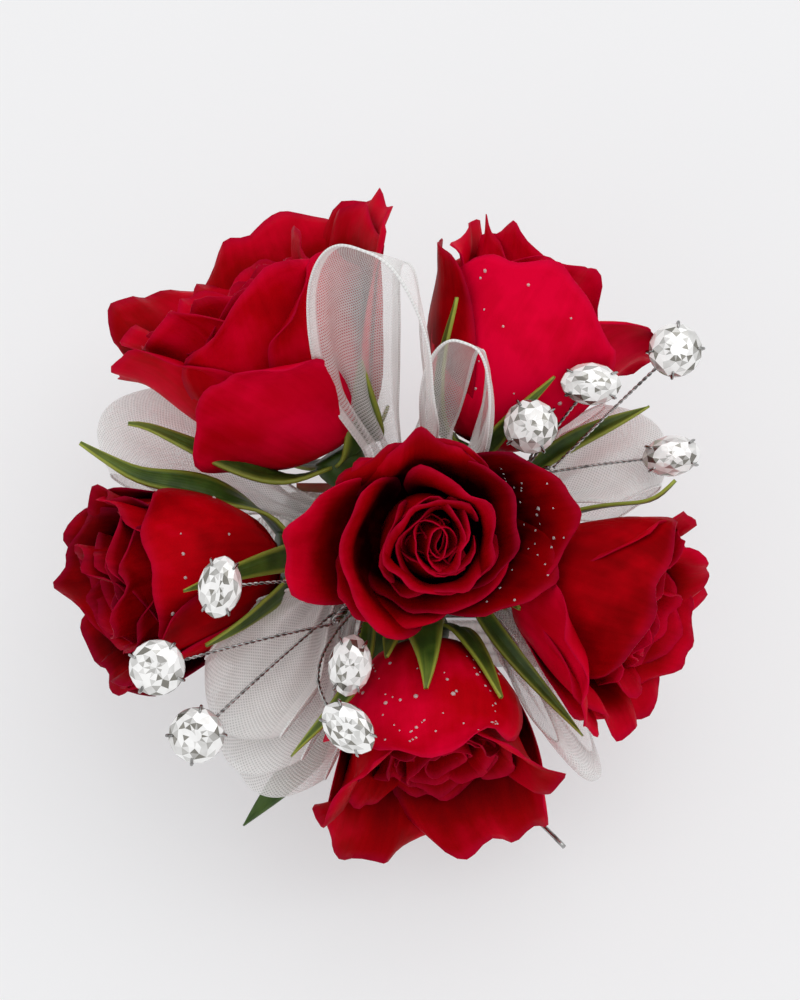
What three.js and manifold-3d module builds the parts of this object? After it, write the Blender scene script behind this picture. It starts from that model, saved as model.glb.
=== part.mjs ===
// Wrist corsage: six spray roses, ribbon loops and two rhinestone sprays on an elastic wristlet.
// Millimetres, +Z up. The origin is the middle of the band's underside and the wrist lies along Y.
import * as THREE from 'three';
import { mergeVertices } from 'three/addons/utils/BufferGeometryUtils.js';
import Module from 'manifold-3d';

const wasm = await Module();
wasm.setup();

// Fits: the gap between pieces, and how far pieces of one solid run into each other
const seatGap = 0.3;
const weldDepth = 0.4;

// Numerical steps
const mergeWithin = 1e-4;
const slopeStep = 1e-3;
const walkSteps = 24;
const cupProbe = 0.01;

// Elastic wristlet, laid flat with its wrist opening low and wide
const bandWidth = 18;
const bandThickness = 1.4;
const bandFlatLength = 42;
const bandLowerTurn = 18;
const bandUpperTurn = 12;
const bandShoulder = 12;
const wristHeight = 26;
const bandSteps = 12;

// Stamped clip plate that carries the flowers
const plateThickness = 1;
const plateHalfLength = 18;
const endBarWidth = 2.5;
const slotWidth = 3.6;
const slotEndClearance = 0.5;
const railWidth = 1.6;
const prongThickness = 0.8;
const prongWidth = 2.4;
const prongWrapDegrees = 40;
const prongSegments = 6;
const prongs = [
  { x: -3.4, side: -1 },
  { x: -11, side: 1 },
  { x: 3.5, side: -1 },
  { x: 7.2, side: 1 },
];

// Taped bundle of stems that the prongs grip
const spineRadius = 4.5;
const spineLength = 25;
const spineTaper = 0.7;
const spineSides = 16;

// Roses: each looks out from the middle of the spine
const petalThickness = 1.2;
const petalColumns = 4;
const petalRows = 5;
const petalBaseRadius = 2.2;
const petalTopDrop = 0.2;
const petalRoll = 1.6;
const petalOverlap = 1.1;
const petalSpread = 0.98;
const petalBlend = 0.5;
const heartWall = 1.3;
const heartRoom = 2.65;
const heartTurns = 1.75;
const heartStepsPerTurn = 10;
const heartCoreRadius = 1.2;
const heartProfile = [[0, 1], [0.12, 1], [0.4, 1], [0.75, 1], [1, 0.9]];
const hipRadius = 4;
const hipLength = 6;
const hipProfile = [[0.9, 0.6], [1, 0.3]];
const hipTop = 0.9;
const stemRadius = 1.5;
const calyxSides = 10;
const sepalThickness = 0.8;
const sepalColumns = 2;
const sepalRows = 4;
const sepalStandOff = 1.3;
const sepalLift = 6;
const sepalRootRadius = 2.4;
const sepalTaper = 0.92;
const sepalCurl = 0.12;

// Ribbon
const ribbonWidth = 16;
const ribbonThickness = 0.8;
const ribbonSteps = 22;
const ribbonNeck = 11;
const ribbonGather = 0.25;
const ribbonFlare = 0.55;
const loopFullness = 0.55;
const loopPinch = 0.25;
const loopPinched = 0.4;
const tailShare = 0.5;
const teardropClosed = 0.62;

// Rhinestone sprays
const stemWireRadius = 0.8;
const branchWireRadius = 0.45;
const wireSides = 6;
const wireSteps = 5;
const stoneSides = 10;
const roundStoneRadius = 3.7;
const stonePavilion = 2.6;
const stoneCrown = 1.3;
const stoneGirdle = 0.5;
const stoneTable = 0.56;
const marquiseLong = 1.12;
const marquiseShort = 0.78;
const cupWall = 0.5;
const collarRadius = 0.9;
const collarLength = 1.2;

// Leaves and the loose end of the binding wire
const bladeThickness = 0.8;
const bladeColumns = 2;
const bladeRows = 6;
const bladeFoot = 0.2;
const bindingWireRadius = 0.4;

// Heights that follow from the sizes above
const plateBottom = bandThickness + wristHeight;
const plateTop = plateBottom + plateThickness;
const spineHeight = plateTop + seatGap + spineRadius;
const gather = new THREE.Vector3(0, 0, spineHeight);
const slotHalfWidth = bandWidth / 2 + slotEndClearance;
const plateHalfWidth = slotHalfWidth + railWidth;
const barCentre = plateHalfLength - endBarWidth / 2;
const cupDepth = stonePavilion + seatGap;
const cupBack = cupDepth + 2 * cupWall;

const headingStations = [0, 0.35, 0.75, 1];

// Headings are degrees from the flower's axis at the base, cup, shoulder and lip of a petal.
const roses = [
  {
    name: 'rose_centre', from: 0, azimuth: -77, elevation: 66, reach: 9.4, oval: 0.74,
    heartRadius: 12.5, heartHeight: 22,
    petals: [
      { turn: 18, length: 26, headings: [78, 44, 38, 60] },
      { turn: 88, length: 29, headings: [78, 32, 20, 74] },
      { turn: 146, length: 31, headings: [78, 32, 24, 50] },
      { turn: 212, length: 29, headings: [78, 30, 20, 56] },
      { turn: 276, length: 25, headings: [78, 34, 26, 60] },
      { turn: 330, length: 26, headings: [78, 44, 38, 64] },
    ],
    sepals: [
      { azimuth: 0, length: 8, width: 4, flare: 10 },
      { azimuth: 72, length: 6, width: 4, flare: 10 },
      { azimuth: 144, length: 6, width: 4, flare: 10 },
      { azimuth: 216, length: 4, width: 3, flare: 10 },
      { azimuth: 288, length: 4, width: 3, flare: 10 },
    ],
  },
  {
    name: 'rose_top_left', from: -4, azimuth: 124.5, elevation: 28, reach: 15.5, oval: 1,
    heartRadius: 14, heartHeight: 29,
    petals: [
      { turn: 4, length: 36, headings: [74, 29, 17, 46] },
      { turn: 46, length: 27, headings: [84, 44, 24, 40] },
      { turn: 100, length: 35, headings: [72, 26, 11, 40] },
      { turn: 186, length: 40, headings: [74, 30, 22, 62] },
      { turn: 240, length: 42, headings: [74, 28, 11, 36] },
      { turn: 300, length: 42, headings: [74, 26, 13, 34] },
    ],
    sepals: [
      { azimuth: 8, length: 32, width: 5, flare: 16 },
      { azimuth: 82, length: 24, width: 5, flare: 14 },
      { azimuth: 150, length: 9, width: 5, flare: 4 },
      { azimuth: 225, length: 9, width: 4, flare: 10 },
      { azimuth: 300, length: 9, width: 4, flare: 10 },
    ],
  },
  {
    name: 'rose_top_right', from: 1.5, azimuth: 62, elevation: 17.7, reach: 16, oval: 1,
    heartRadius: 11, heartHeight: 25,
    petals: [
      { turn: 36, length: 31, headings: [70, 24, 10, 26] },
      { turn: 100, length: 35.5, headings: [76, 29, 10, 20] },
      { turn: 166, length: 33.5, headings: [68, 22, 17, 76] },
      { turn: 236, length: 34, headings: [70, 20, 6, 36] },
      { turn: 304, length: 34, headings: [70, 20, 6, 36] },
    ],
    sepals: [
      { azimuth: 20, length: 27, width: 4, flare: 14 },
      { azimuth: 112, length: 13, width: 3.6, flare: 4 },
      { azimuth: 180, length: 5, width: 4, flare: 6 },
      { azimuth: 240, length: 6, width: 4, flare: 6 },
      { azimuth: 300, length: 6, width: 4, flare: 6 },
    ],
  },
  {
    name: 'rose_left', from: -4, azimuth: 196, elevation: 12, reach: 17, oval: 1,
    heartRadius: 8, heartHeight: 25,
    petals: [
      { turn: 66, length: 26, headings: [60, 26, 6, 12] },
      { turn: 146, length: 28, headings: [58, 24, 5, 20] },
      { turn: 214, length: 32, headings: [58, 24, 5, 34] },
      { turn: 284, length: 32.5, headings: [58, 24, 5, 38] },
      { turn: 354, length: 31.5, headings: [58, 24, 5, 32] },
    ],
    sepals: [
      { azimuth: 160, length: 35, width: 5, flare: 13 },
      { azimuth: 65, length: 25, width: 4.4, flare: 8 },
      { azimuth: 27, length: 22, width: 4.4, flare: 8 },
      { azimuth: 235, length: 6, width: 4, flare: 6 },
      { azimuth: 300, length: 4, width: 4, flare: 6 },
    ],
  },
  {
    name: 'rose_right', from: 4, azimuth: -29.7, elevation: 15.3, reach: 14.5, oval: 1,
    heartRadius: 11, heartHeight: 19,
    petals: [
      { turn: 34, length: 28, headings: [74, 26, 12, 46] },
      { turn: 102, length: 29, headings: [72, 23, 5, 14] },
      { turn: 168, length: 30.5, headings: [74, 28, 17, 60] },
      { turn: 244, length: 28, headings: [74, 26, 12, 50] },
      { turn: 316, length: 28, headings: [74, 26, 12, 50] },
    ],
    sepals: [
      { azimuth: 30, length: 29, width: 4.2, flare: 10 },
      { azimuth: 135, length: 15, width: 5, flare: 4 },
      { azimuth: 210, length: 4, width: 4, flare: 6 },
      { azimuth: 260, length: 4, width: 4, flare: 6 },
      { azimuth: 320, length: 6, width: 4, flare: 6 },
    ],
  },
  {
    name: 'rose_bottom', from: 0, azimuth: -84.5, elevation: 0.7, reach: 17, oval: 1,
    heartRadius: 11, heartHeight: 22,
    petals: [
      { turn: 24, length: 31, headings: [74, 30, 26, 84] },
      { turn: 94, length: 28, headings: [74, 26, 14, 56] },
      { turn: 164, length: 33, headings: [74, 28, 20, 74] },
      { turn: 232, length: 36, headings: [74, 26, 14, 60] },
      { turn: 302, length: 35, headings: [74, 26, 14, 60] },
    ],
    sepals: [
      { azimuth: 50, length: 22, width: 5, flare: 3 },
      { azimuth: 92, length: 23, width: 5, flare: 1 },
      { azimuth: 128, length: 14, width: 5, flare: 4 },
      { azimuth: 220, length: 7, width: 4, flare: 6 },
      { azimuth: 300, length: 7, width: 4, flare: 6 },
    ],
  },
];

// Ribbon loops: from a root in the spine to the loop's tip, both from the middle of the spine.
// The width vector runs across the ribbon, the loop opens square to it, and funnel widens one edge of it.
const ribbons = [
  {
    name: 'ribbon_tall', root: [-1.7, 1.5, 0], tip: [-4, 22.3, 50],
    gap: 13, across: [-0.38, -0.3, 0.87], funnel: 0.4,
  },
  {
    name: 'ribbon_short', root: [4.4, 0.6, 0], tip: [9.8, 14.6, 36.6],
    gap: 7.2, across: [0.1, -0.35, 0.93], funnel: 0.35,
  },
  {
    name: 'ribbon_left', root: [-8, 0, -0.4], tip: [-48, 21, -2],
    gap: 7, across: [0.38, 0.92, 0], funnel: 0,
  },
  {
    name: 'ribbon_right', root: [8, 0, 0], tip: [38.5, 19, -2.6],
    gap: 6, across: [-0.5, 0.85, 0], funnel: 0,
  },
  {
    name: 'ribbon_front_upper', root: [-6, 0, 3.4], tip: [-24.8, -33, 5.8],
    gap: 4, across: [-0.75, 0.65, -0.12], funnel: 0,
  },
  {
    name: 'ribbon_front_middle', root: [-6, 0, 1.1], tip: [-26, -36, -1.6],
    gap: 3.4, across: [-0.8, 0.6, -0.08], funnel: 0,
  },
  {
    name: 'ribbon_front_lower', root: [-5.6, 0, -0.9], tip: [-23, -38, -9],
    gap: 3.4, across: [-0.9, 0.45, 0], funnel: 0,
  },
  {
    name: 'ribbon_front_right', root: [5.4, 0, 1.85], tip: [27.2, -34.7, -10.7],
    gap: 4, across: [0.35, 0.2, -0.9], funnel: 0,
  },
];

// Wire sprays: the stem's points, and each branch's place along the stem (0 to 1) and stone
const sprays = [
  {
    name: 'left', stem: [[-4, -3, 4.2], [-7.5, -10.5, 6.6], [-11.5, -16.6, 8.4]],
    branches: [
      { at: 1, stone: [-36.3, -27.9, 20], kind: 'round', bow: [0, 0, 2] },
      { at: 0.88, stone: [-30.9, -36, 14], kind: 'round', bow: [0, 0, 2] },
      { at: 0.5, stone: [-27.4, -17.2, 24], kind: 'marquise', bow: [0, 0, 2] },
      { at: 0.5, stone: [-9, -26.5, 17], kind: 'marquise', bow: [0, 0, 1] },
      { at: 0.75, stone: [-9.1, -36.9, 20], kind: 'marquise', bow: [-10, -3, 3] },
    ],
  },
  {
    name: 'right', stem: [[9.8, 4.3, 2.8], [14.5, 6.5, 6.2], [20.5, 7.7, 8.5]],
    branches: [
      { at: 1, stone: [38.9, 22.3, 19.2], kind: 'round', bow: [0, 0, 1] },
      { at: 0.78, stone: [26.1, 15.5, 22], kind: 'marquise', bow: [0, 0, 1] },
      { at: 0.88, stone: [39.1, 11.2, 5.5], kind: 'marquise', bow: [0, 0, 1.5] },
      { at: 0.6, stone: [17.3, 10, 19.1], kind: 'round', bow: [3, -2, 0] },
    ],
  },
];
const stoneFacing = new THREE.Vector3(0, -0.35, 0.94).normalize();

// Leaves: points along the midrib from the spine's middle, the width, and where it is widest
const leaves = [
  {
    name: 'leaf_front', width: 7, widest: 0.75,
    midrib: [[-0.6, -3.7, -3.1], [-2.8, -12.4, -3.2], [-12, -25, -14], [-26, -39, -21]],
  },
  {
    name: 'blade_front_left', width: 2.6, widest: 0.6,
    midrib: [[-5.4, -4.5, 2], [-6.4, -15, 6.4], [-8.4, -26, 9.6], [-17.5, -38, 10.5]],
  },
  {
    name: 'blade_front_right', width: 2.6, widest: 0.5,
    midrib: [[5.5, -4.6, 2.6], [13, -18, 4.4], [25, -32, 1.6]],
  },
  {
    name: 'blade_right', width: 3, widest: 0.6,
    midrib: [[11.5, 4.3, 2.2], [22, 11.7, 6.5], [35.6, 17.4, 10]],
  },
];
const bindingWireRoute = [[1, -3.2, -3.7], [2, -11.5, -3.9], [6, -19, -15], [13, -31, -21], [23, -43, -19]];

const finishes = {
  petal: { color: 0xb0001c, roughness: 0.55, metalness: 0 },
  heart: { color: 0x78000f, roughness: 0.6, metalness: 0 },
  leafGreen: { color: 0x3f5f1e, roughness: 0.5, metalness: 0 },
  tape: { color: 0x4a5a34, roughness: 0.8, metalness: 0 },
  organza: { color: 0xf1efee, roughness: 0.6, metalness: 0 },
  elastic: { color: 0xf4f2ef, roughness: 0.8, metalness: 0 },
  plate: { color: 0xc4c6c8, roughness: 0.3, metalness: 1 },
  wire: { color: 0xb9bbbe, roughness: 0.25, metalness: 1 },
  rhinestone: { color: 0xe9eef2, roughness: 0.05, metalness: 0.3 },
};

const corsage = new THREE.Group();
const radians = THREE.MathUtils.degToRad;

// Turns a closed geometry into a solid that can be joined and cut.
function solidOf(geometry) {
  const bare = new THREE.BufferGeometry();
  bare.setAttribute('position', geometry.getAttribute('position').clone());
  if (geometry.index) bare.setIndex(geometry.index.clone());
  const merged = mergeVertices(bare, mergeWithin);
  const corner = merged.getAttribute('position');
  const faces = [];
  let volume = 0;
  const [a, b, c] = [new THREE.Vector3(), new THREE.Vector3(), new THREE.Vector3()];
  for (let i = 0; i < merged.index.count; i += 3) {
    const face = [0, 1, 2].map((k) => merged.index.getX(i + k));
    if (new Set(face).size < 3) continue;
    [a, b, c].forEach((point, k) => point.fromBufferAttribute(corner, face[k]));
    volume += a.dot(b.clone().cross(c));
    faces.push(face);
  }
  if (volume < 0) faces.forEach((face) => face.reverse());
  const mesh = new wasm.Mesh({
    numProp: 3,
    vertProperties: new Float32Array(corner.array),
    triVerts: new Uint32Array(faces.flat()),
  });
  return new wasm.Manifold(mesh);
}

function geometryOf(solid) {
  const mesh = solid.getMesh();
  const geometry = new THREE.BufferGeometry();
  geometry.setAttribute('position', new THREE.BufferAttribute(mesh.vertProperties, 3));
  geometry.setIndex(new THREE.BufferAttribute(mesh.triVerts, 1));
  geometry.computeVertexNormals();
  return geometry;
}

function joined(solids) {
  return solids.reduce((sum, next) => sum.add(next));
}

// Keeps the main body of a cut piece and lets the offcuts go.
function mainBody(solid) {
  return solid.decompose().reduce((best, next) => (next.volume() > best.volume() ? next : best));
}

function addPart(name, solid, finish) {
  const mesh = new THREE.Mesh(geometryOf(solid), new THREE.MeshStandardMaterial(finishes[finish]));
  mesh.name = name;
  corsage.add(mesh);
  return mesh;
}

function placed(geometry, matrix) {
  return solidOf(geometry.clone().applyMatrix4(matrix));
}

// A closed plate of even thickness along a surface given for u in -1..1 and v in 0..1.
function plateAlong(surface, columns, rows, thickness) {
  const positions = [];
  for (const side of [0.5, -0.5]) {
    for (let j = 0; j <= rows; j += 1) {
      for (let i = 0; i <= columns; i += 1) {
        const [u, v] = [-1 + (2 * i) / columns, j / rows];
        const alongU = surface(u + slopeStep, v).sub(surface(u - slopeStep, v));
        const alongV = surface(u, v + slopeStep).sub(surface(u, v - slopeStep));
        const normal = alongU.cross(alongV).normalize();
        positions.push(...surface(u, v).addScaledVector(normal, side * thickness).toArray());
      }
    }
  }
  const across = columns + 1;
  const sheet = across * (rows + 1);
  const at = (side, i, j) => side * sheet + j * across + i;
  const index = [];
  const quad = (a, b, c, d) => index.push(a, b, c, a, c, d);
  for (let j = 0; j < rows; j += 1) {
    for (let i = 0; i < columns; i += 1) {
      quad(at(0, i, j), at(0, i + 1, j), at(0, i + 1, j + 1), at(0, i, j + 1));
      quad(at(1, i, j), at(1, i, j + 1), at(1, i + 1, j + 1), at(1, i + 1, j));
    }
    quad(at(0, 0, j), at(0, 0, j + 1), at(1, 0, j + 1), at(1, 0, j));
    quad(at(0, columns, j), at(1, columns, j), at(1, columns, j + 1), at(0, columns, j + 1));
  }
  for (let i = 0; i < columns; i += 1) {
    quad(at(0, i, 0), at(1, i, 0), at(1, i + 1, 0), at(0, i + 1, 0));
    quad(at(0, i, rows), at(0, i + 1, rows), at(1, i + 1, rows), at(1, i, rows));
  }
  const geometry = new THREE.BufferGeometry();
  geometry.setAttribute('position', new THREE.Float32BufferAttribute(positions, 3));
  geometry.setIndex(index);
  return geometry;
}

function tube(curve, radius, sides, steps) {
  const rim = [];
  for (let i = 0; i < sides; i += 1) {
    const angle = (2 * Math.PI * i) / sides;
    rim.push(new THREE.Vector2(radius * Math.cos(angle), radius * Math.sin(angle)));
  }
  return new THREE.ExtrudeGeometry(new THREE.Shape(rim), { steps, extrudePath: curve });
}

// A turned solid about +Z from [radius, height] points.
function turned(points, sides) {
  const profile = points.map(([radius, height]) => new THREE.Vector2(radius, height));
  return new THREE.LatheGeometry(profile, sides).rotateX(Math.PI / 2);
}

// An outline in X and Z pulled along Y to the given width, centred on Y = 0.
function pulledAlongY(outline, width) {
  const shape = new THREE.Shape(outline.map(([x, z]) => new THREE.Vector2(x, z)));
  const geometry = new THREE.ExtrudeGeometry(shape, { depth: width, bevelEnabled: false });
  return geometry.rotateX(Math.PI / 2).translate(0, width / 2, 0);
}

function block(low, high) {
  const size = high.map((value, k) => value - low[k]);
  const middle = high.map((value, k) => (value + low[k]) / 2);
  return solidOf(new THREE.BoxGeometry(...size).translate(...middle));
}

// The spine, grown by a margin: the margin is the gap left round it when it cuts a neighbour.
function spineSolid(margin) {
  const radius = spineRadius + margin;
  const half = spineLength / 2 + margin;
  const geometry = turned([
    [0, -half], [radius - spineTaper, -half], [radius, -half + 2 * spineTaper],
    [radius, half - 2 * spineTaper], [radius - spineTaper, half], [0, half],
  ], spineSides);
  return solidOf(geometry.rotateY(Math.PI / 2).translate(gather.x, gather.y, gather.z));
}

function addElastic() {
  const flatHalf = bandFlatLength / 2;
  const halfWidth = bandWidth / 2;
  const lower = block([-flatHalf, -halfWidth, 0], [flatHalf, halfWidth, bandThickness]);
  addPart('elastic_lower', lower, 'elastic');
  for (const [name, side] of [['elastic_left', -1], ['elastic_right', 1]]) {
    addPart(name, elasticSide(side), 'elastic');
  }
}

// One side of the band: up from the flat length, round the wrist and sewn round the plate's end bar.
function elasticSide(side) {
  const half = bandThickness / 2;
  const start = bandFlatLength / 2 + seatGap;
  const eyeHalfLength = endBarWidth / 2 + seatGap;
  const eyeHalfHeight = plateThickness / 2 + seatGap;
  const barMiddle = plateBottom + plateThickness / 2;
  const top = barMiddle - eyeHalfHeight - bandThickness + weldDepth;
  const rise = new THREE.CubicBezierCurve(
    new THREE.Vector2(start, half),
    new THREE.Vector2(start + bandLowerTurn, half),
    new THREE.Vector2(barCentre + bandUpperTurn, top - bandShoulder),
    new THREE.Vector2(barCentre, top),
  );
  const outer = [];
  const inner = [];
  for (let i = 0; i <= bandSteps; i += 1) {
    const point = rise.getPoint(i / bandSteps);
    const along = rise.getTangent(i / bandSteps);
    outer.push([side * (point.x + along.y * half), point.y - along.x * half]);
    inner.push([side * (point.x - along.y * half), point.y + along.x * half]);
  }
  const strip = solidOf(pulledAlongY([...outer, ...inner.reverse()], bandWidth));
  const eye = roundBar(side, eyeHalfLength + bandThickness, eyeHalfHeight + bandThickness, bandWidth / 2);
  const hole = roundBar(side, eyeHalfLength, eyeHalfHeight, bandWidth);
  return strip.add(eye).subtract(hole);
}

// A block centred on the plate's end bar on one side.
function roundBar(side, halfLength, halfHeight, halfWidth) {
  const [x, z] = [side * barCentre, plateBottom + plateThickness / 2];
  return block([x - halfLength, -halfWidth, z - halfHeight], [x + halfLength, halfWidth, z + halfHeight]);
}

// Flat stamping with a slot at each end for the band, and prongs folded up over the spine
function addClipPlate() {
  const low = [-plateHalfLength, -plateHalfWidth, plateBottom];
  let plate = block(low, [plateHalfLength, plateHalfWidth, plateTop]);
  for (const side of [-1, 1]) {
    const middle = side * (plateHalfLength - endBarWidth - slotWidth / 2);
    plate = plate.subtract(block(
      [middle - slotWidth / 2, -slotHalfWidth, plateBottom - plateThickness],
      [middle + slotWidth / 2, slotHalfWidth, plateTop + plateThickness],
    ));
  }
  addPart('clip_plate', joined([plate, ...prongs.map(prongSolid)]), 'plate');
}

function prongSolid({ x, side }) {
  const inner = spineRadius + seatGap;
  const outer = inner + prongThickness;
  const wrap = radians(prongWrapDegrees);
  const foot = -(spineRadius + seatGap + weldDepth);
  const outline = new THREE.Shape();
  outline.moveTo(outer, foot);
  outline.lineTo(outer, 0);
  outline.absarc(0, 0, outer, 0, wrap, false);
  outline.lineTo(inner * Math.cos(wrap), inner * Math.sin(wrap));
  outline.absarc(0, 0, inner, wrap, 0, true);
  outline.lineTo(inner, foot);
  const geometry = new THREE.ExtrudeGeometry(outline, {
    depth: prongWidth, bevelEnabled: false, curveSegments: prongSegments,
  });
  geometry.translate(0, 0, -prongWidth / 2);
  const basis = new THREE.Matrix4().makeBasis(
    new THREE.Vector3(0, side, 0), new THREE.Vector3(0, 0, 1), new THREE.Vector3(side, 0, 0),
  );
  basis.setPosition(x, 0, spineHeight);
  return placed(geometry, basis);
}

// A rose's own frame: +Z out along the flower, +Y on its upper side.
function roseMatrix(rose) {
  const [azimuth, elevation] = [radians(rose.azimuth), radians(rose.elevation)];
  const out = new THREE.Vector3(
    Math.cos(elevation) * Math.cos(azimuth), Math.cos(elevation) * Math.sin(azimuth), Math.sin(elevation),
  );
  const across = new THREE.Vector3(0, 0, 1).cross(out).normalize();
  const matrix = new THREE.Matrix4().makeBasis(across, out.clone().cross(across), out);
  const foot = new THREE.Vector3(rose.from, 0, 0).add(gather);
  return matrix.setPosition(foot.addScaledVector(out, rose.reach));
}

function headingAt(headings, v) {
  let k = 0;
  while (k < 2 && v > headingStations[k + 1]) k += 1;
  const share = (v - headingStations[k]) / (headingStations[k + 1] - headingStations[k]);
  const eased = (1 - Math.cos(Math.PI * THREE.MathUtils.clamp(share, 0, 1))) / 2;
  return radians(headings[k] + (headings[k + 1] - headings[k]) * eased);
}

// Radius, height and heading at a distance along a line that sets out from start.
function walked(start, headingOf, distance) {
  let [radius, height] = start;
  const step = distance / walkSteps;
  for (let i = 0; i < walkSteps; i += 1) {
    const heading = headingOf((i + 0.5) * step);
    radius += Math.sin(heading) * step;
    height += Math.cos(heading) * step;
  }
  return [radius, height, headingOf(distance)];
}

// Half the angle from a petal to its neighbour on one side.
function halfGap(rose, k, side) {
  const count = rose.petals.length;
  const beside = rose.petals[(k + side + count) % count];
  return ((side * (beside.turn - rose.petals[k].turn) + 360) % 360) / 2;
}

// Length and headings across a petal, drawn half-way to its neighbour's at its edges.
function petalAt(rose, k, u) {
  const count = rose.petals.length;
  const own = rose.petals[k];
  const beside = rose.petals[(k + (u < 0 ? count - 1 : 1)) % count];
  const share = petalBlend * Math.abs(u) ** 3;
  const between = (mine, theirs) => mine + (theirs - mine) * share;
  return {
    length: between(own.length, beside.length),
    headings: own.headings.map((heading, i) => between(heading, beside.headings[i])),
  };
}

// Length and headings of the ring of petals in one direction round the flower.
function ringAt(rose, azimuth) {
  for (let k = 0; k < rose.petals.length; k += 1) {
    const aside = ((azimuth - rose.petals[k].turn + 540) % 360) - 180;
    const u = aside / halfGap(rose, k, aside < 0 ? -1 : 1);
    if (Math.abs(u) <= 1) return petalAt(rose, k, u);
  }
  return rose.petals[0];
}

function petalMidline(petal, v) {
  const headingOf = (distance) => headingAt(petal.headings, distance / petal.length);
  return walked([petalBaseRadius, petalThickness / 2], headingOf, v * petal.length);
}

// The ring of outer petals as one lobed cup: each petal overlaps the next and rolls back at its sides.
function petalRing(rose) {
  const perPetal = petalColumns + 1;
  const columns = rose.petals.length * perPetal;
  const surface = (column, v) => {
    const k = Math.floor(column / perPetal);
    const u = -1 + (2 * (column - k * perPetal)) / petalColumns;
    const reached = v * (1 - petalTopDrop * u * u);
    const [radius, height, heading] = petalMidline(petalAt(rose, k, u), reached);
    const outward = petalRoll * Math.abs(u) ** 3 * v * v + petalOverlap * u * v;
    const spread = halfGap(rose, k, u < 0 ? -1 : 1) * petalSpread * u;
    const angle = radians(rose.petals[k].turn + spread);
    const around = new THREE.Vector3(0, 0, 1);
    const point = new THREE.Vector3(radius, 0, height);
    const normal = new THREE.Vector3(Math.cos(heading), 0, -Math.sin(heading));
    point.addScaledVector(normal, outward).applyAxisAngle(around, angle);
    return [point, normal.applyAxisAngle(around, angle)];
  };
  return closedRing(surface, columns, petalRows, petalThickness);
}

// A closed wall of even thickness whose columns run once round, with its two edges closed over.
function closedRing(surface, columns, rows, thickness) {
  const positions = [];
  for (const side of [0.5, -0.5]) {
    for (let j = 0; j <= rows; j += 1) {
      for (let i = 0; i < columns; i += 1) {
        const [point, normal] = surface(i, j / rows);
        positions.push(...point.addScaledVector(normal, side * thickness).toArray());
      }
    }
  }
  const sheet = columns * (rows + 1);
  const at = (side, i, j) => side * sheet + j * columns + (i % columns);
  const index = [];
  const quad = (a, b, c, d) => index.push(a, b, c, a, c, d);
  for (let i = 0; i < columns; i += 1) {
    for (let j = 0; j < rows; j += 1) {
      quad(at(0, i, j), at(0, i + 1, j), at(0, i + 1, j + 1), at(0, i, j + 1));
      quad(at(1, i, j), at(1, i, j + 1), at(1, i + 1, j + 1), at(1, i + 1, j));
    }
    quad(at(0, i, 0), at(1, i, 0), at(1, i + 1, 0), at(0, i + 1, 0));
    quad(at(0, i, rows), at(0, i + 1, rows), at(1, i + 1, rows), at(1, i, rows));
  }
  const geometry = new THREE.BufferGeometry();
  geometry.setAttribute('position', new THREE.Float32BufferAttribute(positions, 3));
  return geometry.setIndex(index);
}

// Radius of the narrowest petal's midline at a height above the base.
function cupRadiusAt(rose, wanted) {
  return Math.min(...rose.petals.map((petal) => {
    let v = 0;
    while (v < 1 && petalMidline(petal, v)[1] < wanted) v += cupProbe;
    return petalMidline(petal, v)[0];
  }));
}

// The inner petals: a rolled wall, narrow at the foot, full at the waist and drawn in at the top.
function heartGeometry(rose) {
  const steps = Math.round(heartTurns * heartStepsPerTurn);
  const wall = (offset) => {
    const points = [];
    for (let i = 0; i <= steps; i += 1) {
      const angle = (2 * Math.PI * i) / heartStepsPerTurn;
      const radius = heartCoreRadius + ((rose.heartRadius - heartCoreRadius) * i) / steps + offset;
      points.push([radius * Math.cos(angle), radius * Math.sin(angle)]);
    }
    return points;
  };
  const outline = [...wall(heartWall / 2), ...wall(-heartWall / 2).reverse()];
  const foot = petalThickness + seatGap;
  const levels = heartProfile.map(([share, fullness]) => {
    const height = foot + share * rose.heartHeight;
    const room = cupRadiusAt(rose, height) - heartRoom;
    return [height, (fullness * Math.min(rose.heartRadius, room)) / rose.heartRadius];
  });
  const positions = levels.flatMap(([height, scale]) => (
    outline.flatMap(([x, y]) => [x * scale, y * scale, height])));
  const count = outline.length;
  const caps = THREE.ShapeUtils.triangulateShape(outline.map(([x, y]) => new THREE.Vector2(x, y)), []);
  const topRing = (levels.length - 1) * count;
  const index = caps.flatMap(([a, b, c]) => [a, c, b, topRing + a, topRing + b, topRing + c]);
  for (let k = 0; k < topRing; k += count) {
    for (let i = 0; i < count; i += 1) {
      const next = (i + 1) % count;
      index.push(k + i, k + next, k + count + next, k + i, k + count + next, k + count + i);
    }
  }
  const geometry = new THREE.BufferGeometry();
  geometry.setAttribute('position', new THREE.Float32BufferAttribute(positions, 3));
  return geometry.setIndex(index);
}

// A sepal follows the petals' outside from under the flower and ends in a point.
function sepalSurface(rose, sepal) {
  const turn = new THREE.Matrix4().makeRotationZ(radians(sepal.azimuth));
  const petal = ringAt(rose, sepal.azimuth);
  const headingOf = (distance) => {
    const share = Math.max(distance / sepal.length, 0);
    const spread = sepalLift + sepal.flare * share ** 1.5;
    return headingAt(petal.headings, distance / petal.length) + radians(spread);
  };
  return (u, v) => {
    const root = [sepalRootRadius, -sepalStandOff];
    const [radius, height, heading] = walked(root, headingOf, v * sepal.length);
    const half = (sepal.width / 2) * (1 - sepalTaper * Math.max(v, 0) ** 1.5);
    const outward = sepalCurl * half * u * u;
    const point = new THREE.Vector3(
      radius + outward * Math.cos(heading), u * half, height - outward * Math.sin(heading),
    );
    return point.applyMatrix4(turn);
  };
}

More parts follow.
